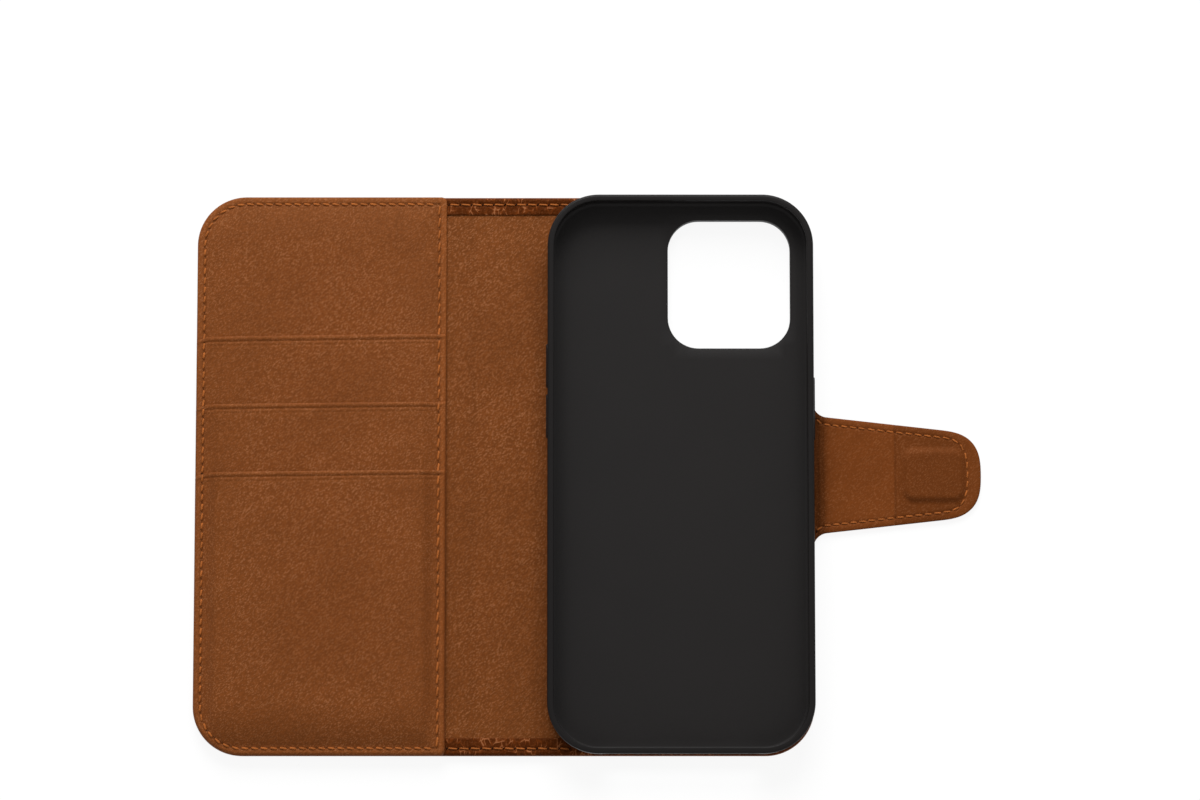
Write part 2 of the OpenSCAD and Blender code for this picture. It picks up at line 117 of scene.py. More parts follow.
def number(name, description, default, **kind):
    """Property that holds an angle, a power, a place or a strength."""
    return FloatProperty(name=name, description=description, default=default, **kind)


def portion(name, description, default):
    """Property that holds a share between 0 and 1."""
    return number(name, description, default, min=0, max=1, subtype="FACTOR")


class FolioLeather(bpy.types.PropertyGroup):
    """Sizes and colours of the leather."""

    outer: colour("Outer leather", "Colour of the leather outside", (0.165, 0.047, 0.011))
    lining: colour("Lining", "Colour of the lining on the spine", (0.168, 0.0472, 0.0099))
    pockets: colour("Pocket leather", "Colour of the panel and the slip pockets", (0.177, 0.0497, 0.0109))
    strap: colour("Strap lining", "Colour of the lining on the strap", (0.165, 0.0432, 0.0085))
    # Painted highlight colour, put on the grain's specks and on the hems' sharpest folds.
    highlights: colour("Grain highlights", "Colour of the grain's high points", (0.42, 0.17, 0.07))
    # The hems are the outer leather: their darker colour between the folds is painted shade.
    hem: colour("Hem shade", "Colour of the gathered hems between their folds", (0.079, 0.0178, 0.0030))
    hem_folds: colour("Hem folds", "Colour of the gathered hems on their folds", (0.195, 0.0445, 0.0074))
    sheen: colour("Sheen", "Colour of the shine on leather and thread", (1.0, 0.66, 0.4))
    corner_radius: length("Corner radius", "Radius of the case's four outer corners", 14.4 * MM)
    hem_width: length("Hem width", "Width of the turned hem on the inside", 5.2 * MM)
    edge_depth: length("Edge depth", "How far in the rounding of the turned edge reaches", 1.1 * MM)
    groove: length("Seam groove", "How deep a seam pulls the leather in", 0.17 * MM)
    grain: length("Grain size", "Distance between the pebbles of the grain", 0.52 * MM)
    grain_depth: length("Grain depth", "Height of the pebbles of the grain", 0.085 * MM)
    crease_zone: length("Fold zone", "Distance on each side of a fold where it bends", 2.3 * MM)
    strap_zone: length("Strap fold zone", "Distance on each side of a strap fold where it bends", 1.7 * MM)


class FolioSeams(bpy.types.PropertyGroup):
    """Sizes and colours of the stitches."""

    inset: length("Seam inset", "Distance from an edge to its seam", 2.2 * MM)
    pitch: length("Stitch pitch", "Distance from one stitch to the next", 2.8 * MM)
    mouth_pitch: length("Mouth pitch", "Stitch pitch along the mouth of the long pocket", 3.65 * MM)
    hem_pitch: length("Hem pitch", "Stitch pitch along the hems of the spine", 3.3 * MM)
    thread: length("Thread width", "Width of the thread", 0.68 * MM)
    rise: length("Thread rise", "Height of a stitch's middle above the leather", 0.2 * MM)
    slant: number("Slant", "Angle between a stitch and its seam", math.radians(9), subtype="ANGLE")
    hole_slant: number("Hole slant", "Angle between a needle hole and its seam", math.radians(48),
                       subtype="ANGLE")
    colour: colour("Thread colour", "Colour of the thread", (0.36, 0.107, 0.024))
    # The holes' dark colour is painted shade inside them.
    hole: colour("Hole colour", "Colour of the needle holes", (0.022, 0.007, 0.003))


class FolioPockets(bpy.types.PropertyGroup):
    """Shape of the pocket panel and the slip pockets."""

    seam_width: length("Seam width", "Width of the flat seam around the slip pockets", 3 * MM)
    slope_width: length("Slope width", "Width of the slope beside a slip pocket's front", 4.25 * MM)
    foot_slope: length("Foot slope", "Height of the soft slope at a slip pocket's foot", 13 * MM)
    puff: length("Puff", "How far the leather puffs up between its seams", 0.8 * MM)
    puff_width: length("Puff width", "Distance from a seam over which the leather puffs up", 11 * MM)
    roll_width: length("Roll width", "Width of the rounding along the panel's edge", 1.25 * MM)
    inner_radius: length("Inner corner radius", "Radius of the corners beside the fold", 1.5 * MM)
    rim_rise: length("Rim rise", "Height of the soft rim at a slip pocket's mouth", 0.16 * MM)
    crease_depth: length("Crease depth", "Depth of the creases below a mouth", 0.11 * MM)
    tilt: portion("Mouth tilt", "Rise of a mouth over its width", 0.0125)
    corner_dip: length("Corner dip", "How far a mouth's outer end is drawn down", 0.9 * MM)


class FolioTray(bpy.types.PropertyGroup):
    """Sizes and colours of the moulded tray."""

    plastic: colour("Plastic", "Colour of the tray and its buttons", (0.0062, 0.0052, 0.0050))
    corner_radius: length("Corner radius", "Radius of the tray's outer corners", 15 * MM)
    wall: length("Wall", "Thickness of the tray's walls", 1.2 * MM)
    floor: length("Floor", "Thickness of the tray's floor", 1 * MM)
    lip_reach: length("Lip reach", "How far the lip reaches in over the tray", 0.7 * MM)
    lip_height: length("Lip height", "Height of the lip above the space inside", 0.8 * MM)
    rounding: length("Rounding", "Radius of the tray's outer edges", 0.75 * MM)
    window_width: length("Window width", "Width of the camera window", 36 * MM)
    window_height: length("Window height", "Height of the camera window", 38 * MM)
    window_radius: length("Window radius", "Corner radius of the camera window", 9 * MM)
    collar: length("Collar", "Thickness of the window's collar", 1 * MM)
    collar_gap: length("Collar gap", "Space between the collar and the leather", 0.1 * MM)
    port_width: length("Charging opening width", "Width of the charging opening", 46 * MM)
    port_height: length("Charging opening height", "Height of the charging opening", 5.6 * MM)
    button_gap: length("Button gap", "Space around a button", 0.15 * MM)
    flange_reach: length("Flange reach", "How far a button's flange reaches past its head", 0.7 * MM)
    flange: length("Flange", "Thickness of a button's flange", 0.5 * MM)


class FolioStrap(bpy.types.PropertyGroup):
    """Shape of the strap."""

    root_width: length("Root width", "Width of the strap where it leaves the back panel", 35 * MM)
    tip_radius: length("Tip radius", "Radius of the strap's round tip", 13.4 * MM)
    shoulder: portion("Shoulder", "How much fuller than a circle the tip's shoulders are", 0.085)
    flare: length("Flare radius", "Radius of the flare at the strap's root", 4.5 * MM)
    pad_margin: length("Pad margin", "Leather beyond the magnet before the pad slopes", 0.3 * MM)
    pad_slope: length("Pad slope", "Width of the slope around the pad", 2.1 * MM)
    pad_corner: length("Pad corner", "Corner radius of the pad", 1.8 * MM)
    tuck: length("Tuck", "How far the strap's leather runs on under the back panel", 6 * MM)


class FolioInner(bpy.types.PropertyGroup):
    """Colours of the parts that lie hidden inside."""

    board: colour("Board", "Colour of the stiffener boards", (0.3, 0.27, 0.22))
    bond: colour("Bond", "Colour of the bond sheet under the tray", (0.66, 0.63, 0.56))
    steel: colour("Steel", "Colour of the keeper plate and the magnet", (0.55, 0.55, 0.57))


class FolioStage(bpy.types.PropertyGroup):
    """Camera, light and floor."""

    distance: length("Camera distance", "Distance from the camera to the case", 1.15)
    tilt: number("Camera tilt", "Angle between the view and straight down", math.radians(6),
                 subtype="ANGLE")
    view_width: length("View width", "Width of the picture at the case", 353.4 * MM)
    centre_x: number("View centre X", "Middle of the picture along X", 3.4 * MM, unit="LENGTH")
    centre_y: number("View centre Y", "Middle of the picture along Y", 22.3 * MM, unit="LENGTH")
    world: number("World light", "Strength of the even light", 0.38)
    key: number("Key light", "Power of the large lamp", 22.5, unit="POWER")
    key_size: length("Key size", "Width of the large lamp", 0.9)
    under: number("Under light", "Power of the lamp below", 11.0, unit="POWER")
    under_size: length("Under size", "Width of the lamp below", 1.2)
    floor_size: length("Floor size", "Half of the floor's width", 4.0)
    floor_gap: length("Floor gap", "Distance from the case down to the floor", 0.3 * MM)
    floor_glow: portion("Floor glow", "Share of the floor's white that has no shadow", 0.9)
    floor_shade: portion("Floor shade", "Share of the floor's white that takes the case's shadow", 0.12)
    shade_reach: length("Shade reach", "How near the case shuts the light off from the floor", 90 * MM)


def setting(group):
    """Property group of that name."""
    return getattr(bpy.context.scene, f"folio_{group}")


# Small shared functions

def steps(first, last, count):
    """Evenly spaced values from first to last."""
    return [first + (last - first) * i / count for i in range(count + 1)]


def smooth(t):
    """Eases from 0 to 1."""
    t = min(1.0, max(0.0, t))
    return t * t * (3 - 2 * t)


def beside(value, cut, width):
    """0 at a cut, easing to 1 at the width beside it."""
    return smooth(abs(value - cut) / width)


def ridge(value, centre, width):
    """1 at the centre, falling off to both sides over about the width."""
    return math.exp(-((value - centre) / width) ** 2)


def to_go(distance, width):
    """Share of a width that is still to go: 1 at its start and 0 at its end."""
    return 1 - min(1.0, max(0.0, distance / width))


def roll(distance, width):
    """Rise of a quarter-round edge, from 0 at the edge to 1 at the width."""
    return math.sqrt(1 - to_go(distance, width) ** 2)


def swell(distance, width):
    """Rise from 0 to 1 that is steepest at its start."""
    return 1 - to_go(distance, width) ** 2


def waves(x, y, size, seed):
    """Soft uneven waves between about -1 and 1."""
    return noise.noise(Vector((x / size, y / size, seed)))


def flat(z):
    """Height function of a level surface."""
    return lambda x, y: z


def quarter_rows(inset, z, radius, start, count, way=-1):
    """Rows of inset and height round a quarter circle about that inset and height, from a start angle."""
    return [(inset + radius * math.cos(a), flat(z + radius * math.sin(a)))
            for a in steps(start, start + way * QUARTER, count)]


def fold_crease(x):
    """1 on the case's two folds, falling off beside them."""
    return max(ridge(x, FOLD_X[fold], CREASE_WIDTH) for fold in ("spine_fold", "cover_fold"))


# Outlines

def columns(first, last, fold, zone, coarse, fine):
    """Places from first to last, close together around a fold."""
    zone_share, last_share = 1.3, 1.4
    sign = 1 if last > first else -1
    places = [first]
    while True:
        here = places[-1]
        step = fine if abs(here - fold) < zone * zone_share else coarse
        if abs(last - here) < step * last_share:
            return places + [last]
        places.append(here + sign * step)


class HalfPanel:
    """Outline of one half of the case, from its free edge to the cut in the middle of the spine."""

    COLUMN, FOLD_COLUMN = 0.8 * MM, 0.28 * MM
    EDGE_ROWS, CORNER_STEPS, FILL_ROWS = 170, 26, 44
    CORNER_COLUMN, CORNER_COLUMNS = 1.6 * MM, 5
    CLEARANCE = 0.6 * MM

    def __init__(self, free_x, cut_x, fold):
        leather_set = setting("leather")
        self.free_x, self.radius = free_x, leather_set.corner_radius
        self.side = 1 if cut_x > free_x else -1
        self.centre_x = free_x + self.side * self.radius
        self.columns = columns(cut_x, self.centre_x, FOLD_X[fold], leather_set.crease_zone,
                               self.COLUMN, self.FOLD_COLUMN)
        self.rows = steps(self.radius - HALF_H, HALF_H - self.radius, self.EDGE_ROWS)
        self.angles = steps(0, QUARTER, self.CORNER_STEPS)

    def path(self, inset):
        """Open loop of points at that distance inside the free edges."""
        r = max(self.radius - inset, 0)
        y = HALF_H - inset
        corner_y = HALF_H - self.radius
        lower = [(x, -y) for x in self.columns]
        turn = [(self.centre_x - self.side * r * math.sin(a), -corner_y - r * math.cos(a))
                for a in self.angles[1:-1]]
        edge = [(self.free_x + self.side * inset, row) for row in self.rows]
        back = [(x, -row) for x, row in reversed(lower + turn)]
        return lower + turn + edge + back

    def depth(self, x, y):
        """Distance from a point to the nearest free edge."""
        u = self.side * (x - self.free_x)
        v = HALF_H - abs(y)
        if u < self.radius and v < self.radius:
            return self.radius - math.hypot(self.radius - u, self.radius - v)
        return min(u, v)

    def grid(self, inset, keep=None):
        """Points that fill the outline inside that distance, with the cut's own points."""
        ys = steps(inset - HALF_H, HALF_H - inset, self.FILL_ROWS)[1:-1]
        xs = self.columns + [self.centre_x - self.side * i * self.CORNER_COLUMN
                             for i in range(1, self.CORNER_COLUMNS + 1)]
        found = [(x, y) for x in xs for y in ys if self.depth(x, y) > inset + self.CLEARANCE]
        return [p for p in found if keep is None or keep(*p)]


class RoundedLoop:
    """Closed outline of a rectangle with a radius at each corner, in the order lower left, lower right,
    upper right, upper left."""

    CLEARANCE = 0.4

    def __init__(self, low_x, low_y, high_x, high_y, radii, spacing):
        self.low_x, self.low_y, self.high_x, self.high_y = low_x, low_y, high_x, high_y
        self.radii = radii
        self.arcs = [max(2, round(r * QUARTER / spacing)) for r in radii]
        spans = (high_x - low_x, high_y - low_y, high_x - low_x, high_y - low_y)
        self.runs = [max(1, round(span / spacing)) for span in spans]

    def path(self, inset):
        """Points at that distance inside the outline."""
        signs = ((-1, -1), (1, -1), (1, 1), (-1, 1))
        loop = []
        for i, (sx, sy) in enumerate(signs):
            r = max(self.radii[i] - inset, 0)
            x = (self.low_x + inset + r) if sx < 0 else (self.high_x - inset - r)
            y = (self.low_y + inset + r) if sy < 0 else (self.high_y - inset - r)
            start = math.pi + i * QUARTER
            loop.append([(x + r * math.cos(a), y + r * math.sin(a))
                         for a in steps(start, start + QUARTER, self.arcs[i])])
        points = []
        for i, arc in enumerate(loop):
            points += arc
            (ax, ay), (bx, by) = arc[-1], loop[(i + 1) % len(loop)][0]
            points += [(ax + (bx - ax) * t, ay + (by - ay) * t) for t in steps(0, 1, self.runs[i])[1:-1]]
        return points

    def depth(self, x, y):
        """Distance from a point inside to the outline."""
        u, v = min(x - self.low_x, self.high_x - x), min(y - self.low_y, self.high_y - y)
        left, low = x - self.low_x < self.high_x - x, y - self.low_y < self.high_y - y
        lower_left, lower_right, upper_right, upper_left = self.radii
        r = (lower_left if left else lower_right) if low else (upper_left if left else upper_right)
        if u < r and v < r:
            return r - math.hypot(r - u, r - v)
        return min(u, v)

    def grid(self, inset, spacing):
        """Points that fill the outline inside that distance."""
        nx = max(1, round((self.high_x - self.low_x) / spacing))
        ny = max(1, round((self.high_y - self.low_y) / spacing))
        return [(x, y) for x in steps(self.low_x, self.high_x, nx) for y in steps(self.low_y, self.high_y, ny)
                if self.depth(x, y) > inset + spacing * self.CLEARANCE]


# Meshes

def band(lower, upper, closed):
    """Faces between two loops with the same number of points."""
    count = len(lower)
    last = count if closed else count - 1
    return [(lower[i], lower[(i + 1) % count], upper[(i + 1) % count], upper[i]) for i in range(last)]


def bands(loops, closed):
    """Faces between each loop and the next."""
    return [face for lower, upper in zip(loops, loops[1:]) for face in band(lower, upper, closed)]


def add_loop(points, places):
    """Adds a loop of places to the points, and returns their numbers."""
    first = len(points)
    points += places
    return list(range(first, len(points)))


def loops_of(points, path, rows):
    """Adds one loop of points for each row of inset and height, and returns the loops."""
    return [add_loop(points, [(x, y, height(x, y)) for x, y in path(inset)]) for inset, height in rows]


def turn_slivers(faces, points):
    """Triangles in which the long edge of every sliver has been turned, so that none is left."""
    thinnest, turns = 1e-4, 6
    owners = {}

    def sides(face):
        a, b, c = face
        return [frozenset(pair) for pair in ((a, b), (b, c), (c, a))]

    def span(side):
        a, b = side
        return math.dist(points[a][:2], points[b][:2])

    def thin(face):
        (ax, ay), (bx, by), (cx, cy) = (points[v][:2] for v in face)
        area = abs((bx - ax) * (cy - ay) - (cx - ax) * (by - ay))
        return area < thinnest * max(span(side) for side in sides(face)) ** 2

    def put(which, face):
        for side in sides(faces[which]):
            owners[side].discard(which)
        faces[which] = face
        for side in sides(face):
            owners.setdefault(side, set()).add(which)

    for index, face in enumerate(faces):
        for side in sides(face):
            owners.setdefault(side, set()).add(index)
    slivers = [index for index, face in enumerate(faces) if thin(face)]
    for _ in range(turns * len(slivers)):
        if not slivers:
            break
        index = slivers.pop(0)
        long_side = max(sides(faces[index]), key=span)
        mates = owners[long_side] - {index}
        if mates and thin(faces[index]):
            mate = mates.pop()
            tip = next(v for v in faces[index] if v not in long_side)
            far = next(v for v in faces[mate] if v not in long_side)
            start, end = long_side
            put(index, (start, tip, far))
            put(mate, (tip, end, far))
            slivers += [index, mate]
    return [face for face in faces if not thin(face)]


def fill(points, loop, grid, height, hole=()):
    """Faces that fill a loop at that height, around a hole."""
    inside_only, nearest = 1, 1e-4
    added = add_loop(points, [(x, y, height(x, y)) for x, y in grid])
    index = [*loop, *hole, *added]
    flat_points = [Vector(points[i][:2]) / MM for i in index]
    size, hole_size = len(loop), len(hole)
    edges = [(i, (i + 1) % size) for i in range(size)]
    edges += [(size + i, size + (i + 1) % hole_size) for i in range(hole_size)]
    _, _, faces, originals, _, _ = delaunay_2d_cdt(flat_points, edges, [], inside_only, nearest, True)
    found = [tuple(index[originals[v][0]] for v in face) for face in faces]
    rim = set(hole)
    return turn_slivers([face for face in found if not rim.issuperset(face)], points)


def sheet(path, rows, grid, closed, ring=None):
    """Points and faces of a sheet. Its rows run round the edge from the inner loop below to the inner loop
    above, and both inner loops are filled. A ring holds the path and rows of a hole through the sheet."""
    points = []
    loops = loops_of(points, path, rows)
    faces = bands(loops, closed)
    holes = ((), ())
    if ring:
        ring_loops = loops_of(points, *ring)
        faces += bands(ring_loops, True)
        holes = (ring_loops[0], ring_loops[-1])
    for end, hole in zip((0, -1), holes):
        faces += fill(points, loops[end], grid, rows[end][1], hole)
    return points, faces


def link(name, data):
    """Object of a mesh, a lamp or a camera, placed in the scene."""
    piece = bpy.data.objects.new(name, data)
    bpy.context.scene.collection.objects.link(piece)
    return piece


def new_object(name, points, faces, materials, pick=None, tone=None):
    """Object from points and faces, welded, closed and shaded smooth. pick gives a face's material from its middle
    and normal, and the last argument a point's lighter or darker share, which holds painted light and shade as
    well as tone."""
    weld = 0.002 * MM
    sharp = math.radians(50)
    mesh = bpy.data.meshes.new(name)
    mesh.from_pydata([Vector(p) for p in points], [], [f for f in faces if len(set(f)) > 2])
    shape = bmesh.new()
    shape.from_mesh(mesh)
    bmesh.ops.remove_doubles(shape, verts=shape.verts, dist=weld)
    cut = [edge for edge in shape.edges if edge.is_boundary]
    if cut:
        bmesh.ops.edgeloop_fill(shape, edges=cut)
    bmesh.ops.recalc_face_normals(shape, faces=shape.faces)
    for face in shape.faces:
        face.smooth = True
        if pick:
            face.material_index = pick(face.calc_center_median(), face.normal)
    shape.to_mesh(mesh)
    shape.free()
    for material in materials:
        mesh.materials.append(material)
    # The stored share holds painted light and shade as well as tone.
    if tone:
        layer = mesh.attributes.new("tone", "FLOAT", "POINT")
        layer.data.foreach_set("value", [tone(*v.co) for v in mesh.vertices])
    mesh.set_sharp_from_angle(angle=sharp)
    return link(name, mesh)


def bends(piece, fold, nodes):
    """Bakes a piece's place into its points, and lets it stand for these nodes, if any are given."""
    leather_set, x = setting("leather"), FOLD_X[fold]
    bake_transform(piece)
    if nodes is not None:
        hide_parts(*nodes)


def rides(piece, body, nodes):
    """Lets a piece move with one body and stand for these nodes."""
    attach(piece, body)
    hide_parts(*nodes)


# Materials

class Nodes:
    """Short way to add and join shader nodes in one tree."""

    NOISE_LOW, NOISE_HIGH = 0.3, 0.7

    def __init__(self, tree):
        self.tree = tree

    def add(self, kind, inputs=None, **settings):
        """New node with its settings. Each input is a value or another node's output."""
        node = self.tree.nodes.new(kind)
        for key, value in settings.items():
            setattr(node, key, value)
        for key, value in (inputs or {}).items():
            self.feed(value, node.inputs[key])
        return node

    def feed(self, value, target):
        """Gives an input a value or another node's output."""
        if isinstance(value, bpy.types.NodeSocket):
            self.tree.links.new(value, target)
        else:
            target.default_value = value

    def math(self, operation, a, b=0.0):
        """Output of a maths node."""
        return self.add("ShaderNodeMath", {0: a, 1: b}, operation=operation).outputs[0]

    def plus(self, a, b):
        """Sum of two values."""
        return self.math("ADD", a, b)

    def times(self, a, b):
        """Product of two values."""
        return self.math("MULTIPLY", a, b)

    def noise(self, vector, scale, detail, rough=0.5):
        """Value of a noise texture."""
        return self.add("ShaderNodeTexNoise", {"Vector": vector, "Scale": scale, "Detail": detail,
                                               "Roughness": rough}).outputs["Fac"]

    def ramp(self, value, low, high, new_low=0.0, new_high=1.0):
        """Value mapped smoothly from one range to another."""
        node = self.add("ShaderNodeMapRange", {"Value": value, "From Min": low, "From Max": high,
                                               "To Min": new_low, "To Max": new_high},
                        interpolation_type="SMOOTHSTEP")
        return node.outputs["Result"]

    def spread(self, value, low, high):
        """Noise mapped to a range."""
        return self.ramp(value, self.NOISE_LOW, self.NOISE_HIGH, low, high)

    def tint(self, picture, amount):
        """Colour made lighter or darker by a factor."""
        node = self.add("ShaderNodeVectorMath", {0: picture, "Scale": amount}, operation="SCALE")
        return node.outputs["Vector"]

    def mix(self, factor, a, b):
        """Colour between a and b."""
        node = self.add("ShaderNodeMix", {"Factor": factor}, data_type="RGBA")
        for socket, value in (("A_Color", a), ("B_Color", b)):
            self.feed(value, next(s for s in node.inputs if s.identifier == socket))
        return next(s for s in node.outputs if s.identifier == "Result_Color")

    def finish(self, shader, picture, roughness, height, strength, depth, shine):
        """Joins a surface's colour, roughness and relief to its shader, and sets how much it shines."""
        bump = self.add("ShaderNodeBump", {"Height": height, "Strength": strength, "Distance": depth})
        inputs = {"Base Color": picture, "Roughness": roughness, "Normal": bump.outputs["Normal"],
                  "Specular IOR Level": shine}
        for name, value in inputs.items():
            self.feed(value, shader.inputs[name])


def new_group(name, inputs, outputs):
    """Empty shader node group with named sockets, its nodes, its input and its output."""
    tree = bpy.data.node_groups.new(name, "ShaderNodeTree")
    for way, sockets in (("INPUT", inputs), ("OUTPUT", outputs)):
        for socket, kind in sockets.items():
            tree.interface.new_socket(socket, in_out=way, socket_type=f"NodeSocket{kind}")
    nodes = Nodes(tree)
    return nodes, nodes.add("NodeGroupInput").outputs, nodes.add("NodeGroupOutput").inputs


def grain_group():
    """Group that gives leather its slanting grain with soft creases and uneven dye, painted highlights on its
    specks, and painted shade in the hollows between its pebbles.
    """
    name = "Leather grain"
    if name in bpy.data.node_groups:
        return bpy.data.node_groups[name]
    slant = math.radians(42)
    stretch = 2.3
    softness = 0.35
    specks_per_pebble, speck_detail = 1.9, 0.5
    speck_low = 0.52
    speck_high = 0.7
    speck_light = 0.27
    speck_gloss = 0.1
    crease_scale = 210.0
    crease_detail = 4.0
    crease_rough = 0.62
    crease_shade = 0.035
    dye_scale, dye_detail, dye_shade = 38.0, 3.0, 0.035
    patch_low, patch_high, patch_least = 0.35, 0.65, 0.55
    pebble_low = 0.35
    pebble_high = 0.75
    hollow_shade = -0.09
    crown_shade = 0.03
    rough_high, rough_low = 0.6, 0.56
    pebble_height, speck_height, crease_height = 0.6, 0.45, 0.5
    nodes, given, result = new_group(
        name, {"Vector": "Vector", "Colour": "Color", "Highlights": "Color", "Pebbles": "Float",
               "Relief": "Float", "Tone and shading": "Float"},
        {"Colour": "Color", "Roughness": "Float", "Height": "Float"})
    turned = nodes.add("ShaderNodeMapping", {"Vector": given["Vector"], "Rotation": (0, 0, slant),
                                             "Scale": (stretch, 1, 1)}, vector_type="TEXTURE")
    place = turned.outputs["Vector"]
    pebbles = nodes.add("ShaderNodeTexVoronoi", {"Vector": place, "Scale": given["Pebbles"],
                                                 "Smoothness": softness}, feature="SMOOTH_F1")
    pebble = nodes.math("SUBTRACT", 1.0, pebbles.outputs["Distance"])
    fine = nodes.noise(place, nodes.times(given["Pebbles"], specks_per_pebble), speck_detail)
    creases = nodes.noise(place, crease_scale, crease_detail, crease_rough)
    dye = nodes.noise(given["Vector"], dye_scale, dye_detail)
    speck = nodes.times(nodes.ramp(fine, speck_low, speck_high),
                        nodes.ramp(dye, patch_low, patch_high, patch_least, 1.0))
    shade = nodes.plus(nodes.spread(dye, 1 - dye_shade, 1 + dye_shade),
                       nodes.spread(creases, -crease_shade, crease_shade))
    hollows = nodes.ramp(pebble, pebble_low, pebble_high, hollow_shade, crown_shade)
    shade = nodes.plus(shade, nodes.times(hollows, given["Relief"]))
    shade = nodes.times(shade, nodes.plus(given["Tone and shading"], 1.0))
    # Painted highlight: the specks are mixed towards the highlight colour.
    light = nodes.times(nodes.times(speck, speck_light), given["Relief"])
    nodes.feed(nodes.mix(light, nodes.tint(given["Colour"], shade), given["Highlights"]), result["Colour"])
    nodes.feed(nodes.math("SUBTRACT", nodes.spread(creases, rough_high, rough_low),
                          nodes.times(speck, speck_gloss)), result["Roughness"])
    relief = nodes.plus(nodes.times(fine, speck_height), nodes.times(creases, crease_height))
    nodes.feed(nodes.plus(nodes.times(pebble, pebble_height), relief), result["Height"])
    return nodes.tree


def crinkle_group():
    """Group for thin leather that is gathered in a turned hem: sharp folds around hollows."""
    drift_scale, drift, detail = 260.0, 2.2 * MM, 2.0
    folds_across, folds_along = 620.0, 300.0
    line_width = 0.2
    part_scale = 300.0
    part_low = 0.42
    part_high = 0.6
    line_height, part_height = 0.8, 1.2
    nodes, given, result = new_group("Gathered hem", {"Vector": "Vector"},
                                     {"Folds": "Float", "Height": "Float"})
    waver = nodes.add("ShaderNodeTexNoise", {"Vector": given["Vector"], "Scale": drift_scale,
                                             "Detail": detail})
    moved = nodes.tint(waver.outputs["Color"], drift)
    place = nodes.add("ShaderNodeVectorMath", {0: given["Vector"], 1: moved})
    wide = nodes.add("ShaderNodeMapping", {"Vector": place.outputs["Vector"],
                                           "Scale": (folds_across, folds_along, folds_along)})
    cells = nodes.add("ShaderNodeTexVoronoi", {"Vector": wide.outputs["Vector"], "Scale": 1.0},
                      feature="DISTANCE_TO_EDGE")
    part = nodes.noise(given["Vector"], part_scale, detail)
    line = nodes.ramp(cells.outputs["Distance"], 0.0, line_width, 1.0, 0.0)
    nodes.feed(nodes.times(line, nodes.ramp(part, part_low, part_high)), result["Folds"])
    nodes.feed(nodes.plus(nodes.times(line, line_height), nodes.times(part, part_height)), result["Height"])
    return nodes.tree


def cleared(owner):
    """Nodes of a material or a world, with none left in them."""
    owner.use_nodes = True
    owner.node_tree.nodes.clear()
    return Nodes(owner.node_tree)


def new_material(name):
    """Empty node material, its nodes, its Principled shader and the place on the piece."""
    material = bpy.data.materials.new(name)
    nodes = cleared(material)
    shader = nodes.add("ShaderNodeBsdfPrincipled")
    nodes.add("ShaderNodeOutputMaterial", {"Surface": shader.outputs["BSDF"]})
    place = nodes.add("ShaderNodeTexCoord").outputs["Object"]
    return material, nodes, shader, place


def solid(rgb):
    """Colour with its alpha."""
    return (*rgb, 1)


def grain_node(nodes, place, base, relief):
    """Leather grain in a material, with its colour and the strength of its relief."""
    leather_set = setting("leather")
    return nodes.add("ShaderNodeGroup", {"Vector": place, "Colour": solid(base), "Relief": relief,
                                         "Highlights": solid(leather_set.highlights),
                                         "Pebbles": 1 / leather_set.grain}, node_tree=grain_group())


def leather(name, base, relief, shine=0.13):
    """Full-grain leather of one colour, lighter or darker by the share stored on its points, which holds painted
    light and shade.
    """
    if name in bpy.data.materials:
        return bpy.data.materials[name]
    leather_set, strength = setting("leather"), 0.8
    material, nodes, shader, place = new_material(name)
    tone = nodes.add("ShaderNodeAttribute", attribute_name="tone", attribute_type="GEOMETRY")
    grain = grain_node(nodes, place, base, relief)
    nodes.feed(tone.outputs["Fac"], grain.inputs["Tone and shading"])
    shader.inputs["Specular Tint"].default_value = solid(leather_set.sheen)
    nodes.finish(shader, grain.outputs["Colour"], grain.outputs["Roughness"], grain.outputs["Height"],
                 strength, leather_set.grain_depth * relief, shine)
    return material


def hem_leather():
    """Outer leather gathered in the turned hems, with painted shade between its folds and painted highlights along
    its sharpest folds.
    """
    name = "Hem leather"
    if name in bpy.data.materials:
        return bpy.data.materials[name]
    leather_set, relief = setting("leather"), 0.5
    fold_share, glint_low, glint_share = 0.6, 0.84, 0.6
    grain_share = 0.25
    gloss = 0.16
    strength = 0.9
    depth = 0.17 * MM
    shine = 0.03
    material, nodes, shader, place = new_material(name)
    grain = grain_node(nodes, place, leather_set.hem, relief)
    crinkle = nodes.add("ShaderNodeGroup", {"Vector": place}, node_tree=crinkle_group()).outputs
    picture = nodes.mix(nodes.times(crinkle["Folds"], fold_share), grain.outputs["Colour"],
                        solid(leather_set.hem_folds))
    # Painted highlights along the hem's sharpest folds.
    picture = nodes.mix(nodes.ramp(crinkle["Folds"], glint_low, 1.0, 0.0, glint_share), picture,
                        solid(leather_set.highlights))
    height = nodes.plus(nodes.times(grain.outputs["Height"], grain_share), crinkle["Height"])
    shader.inputs["Specular Tint"].default_value = solid(leather_set.sheen)
    roughness = nodes.math("SUBTRACT", grain.outputs["Roughness"], gloss)
    nodes.finish(shader, picture, roughness, height, strength, depth, shine)
    return material


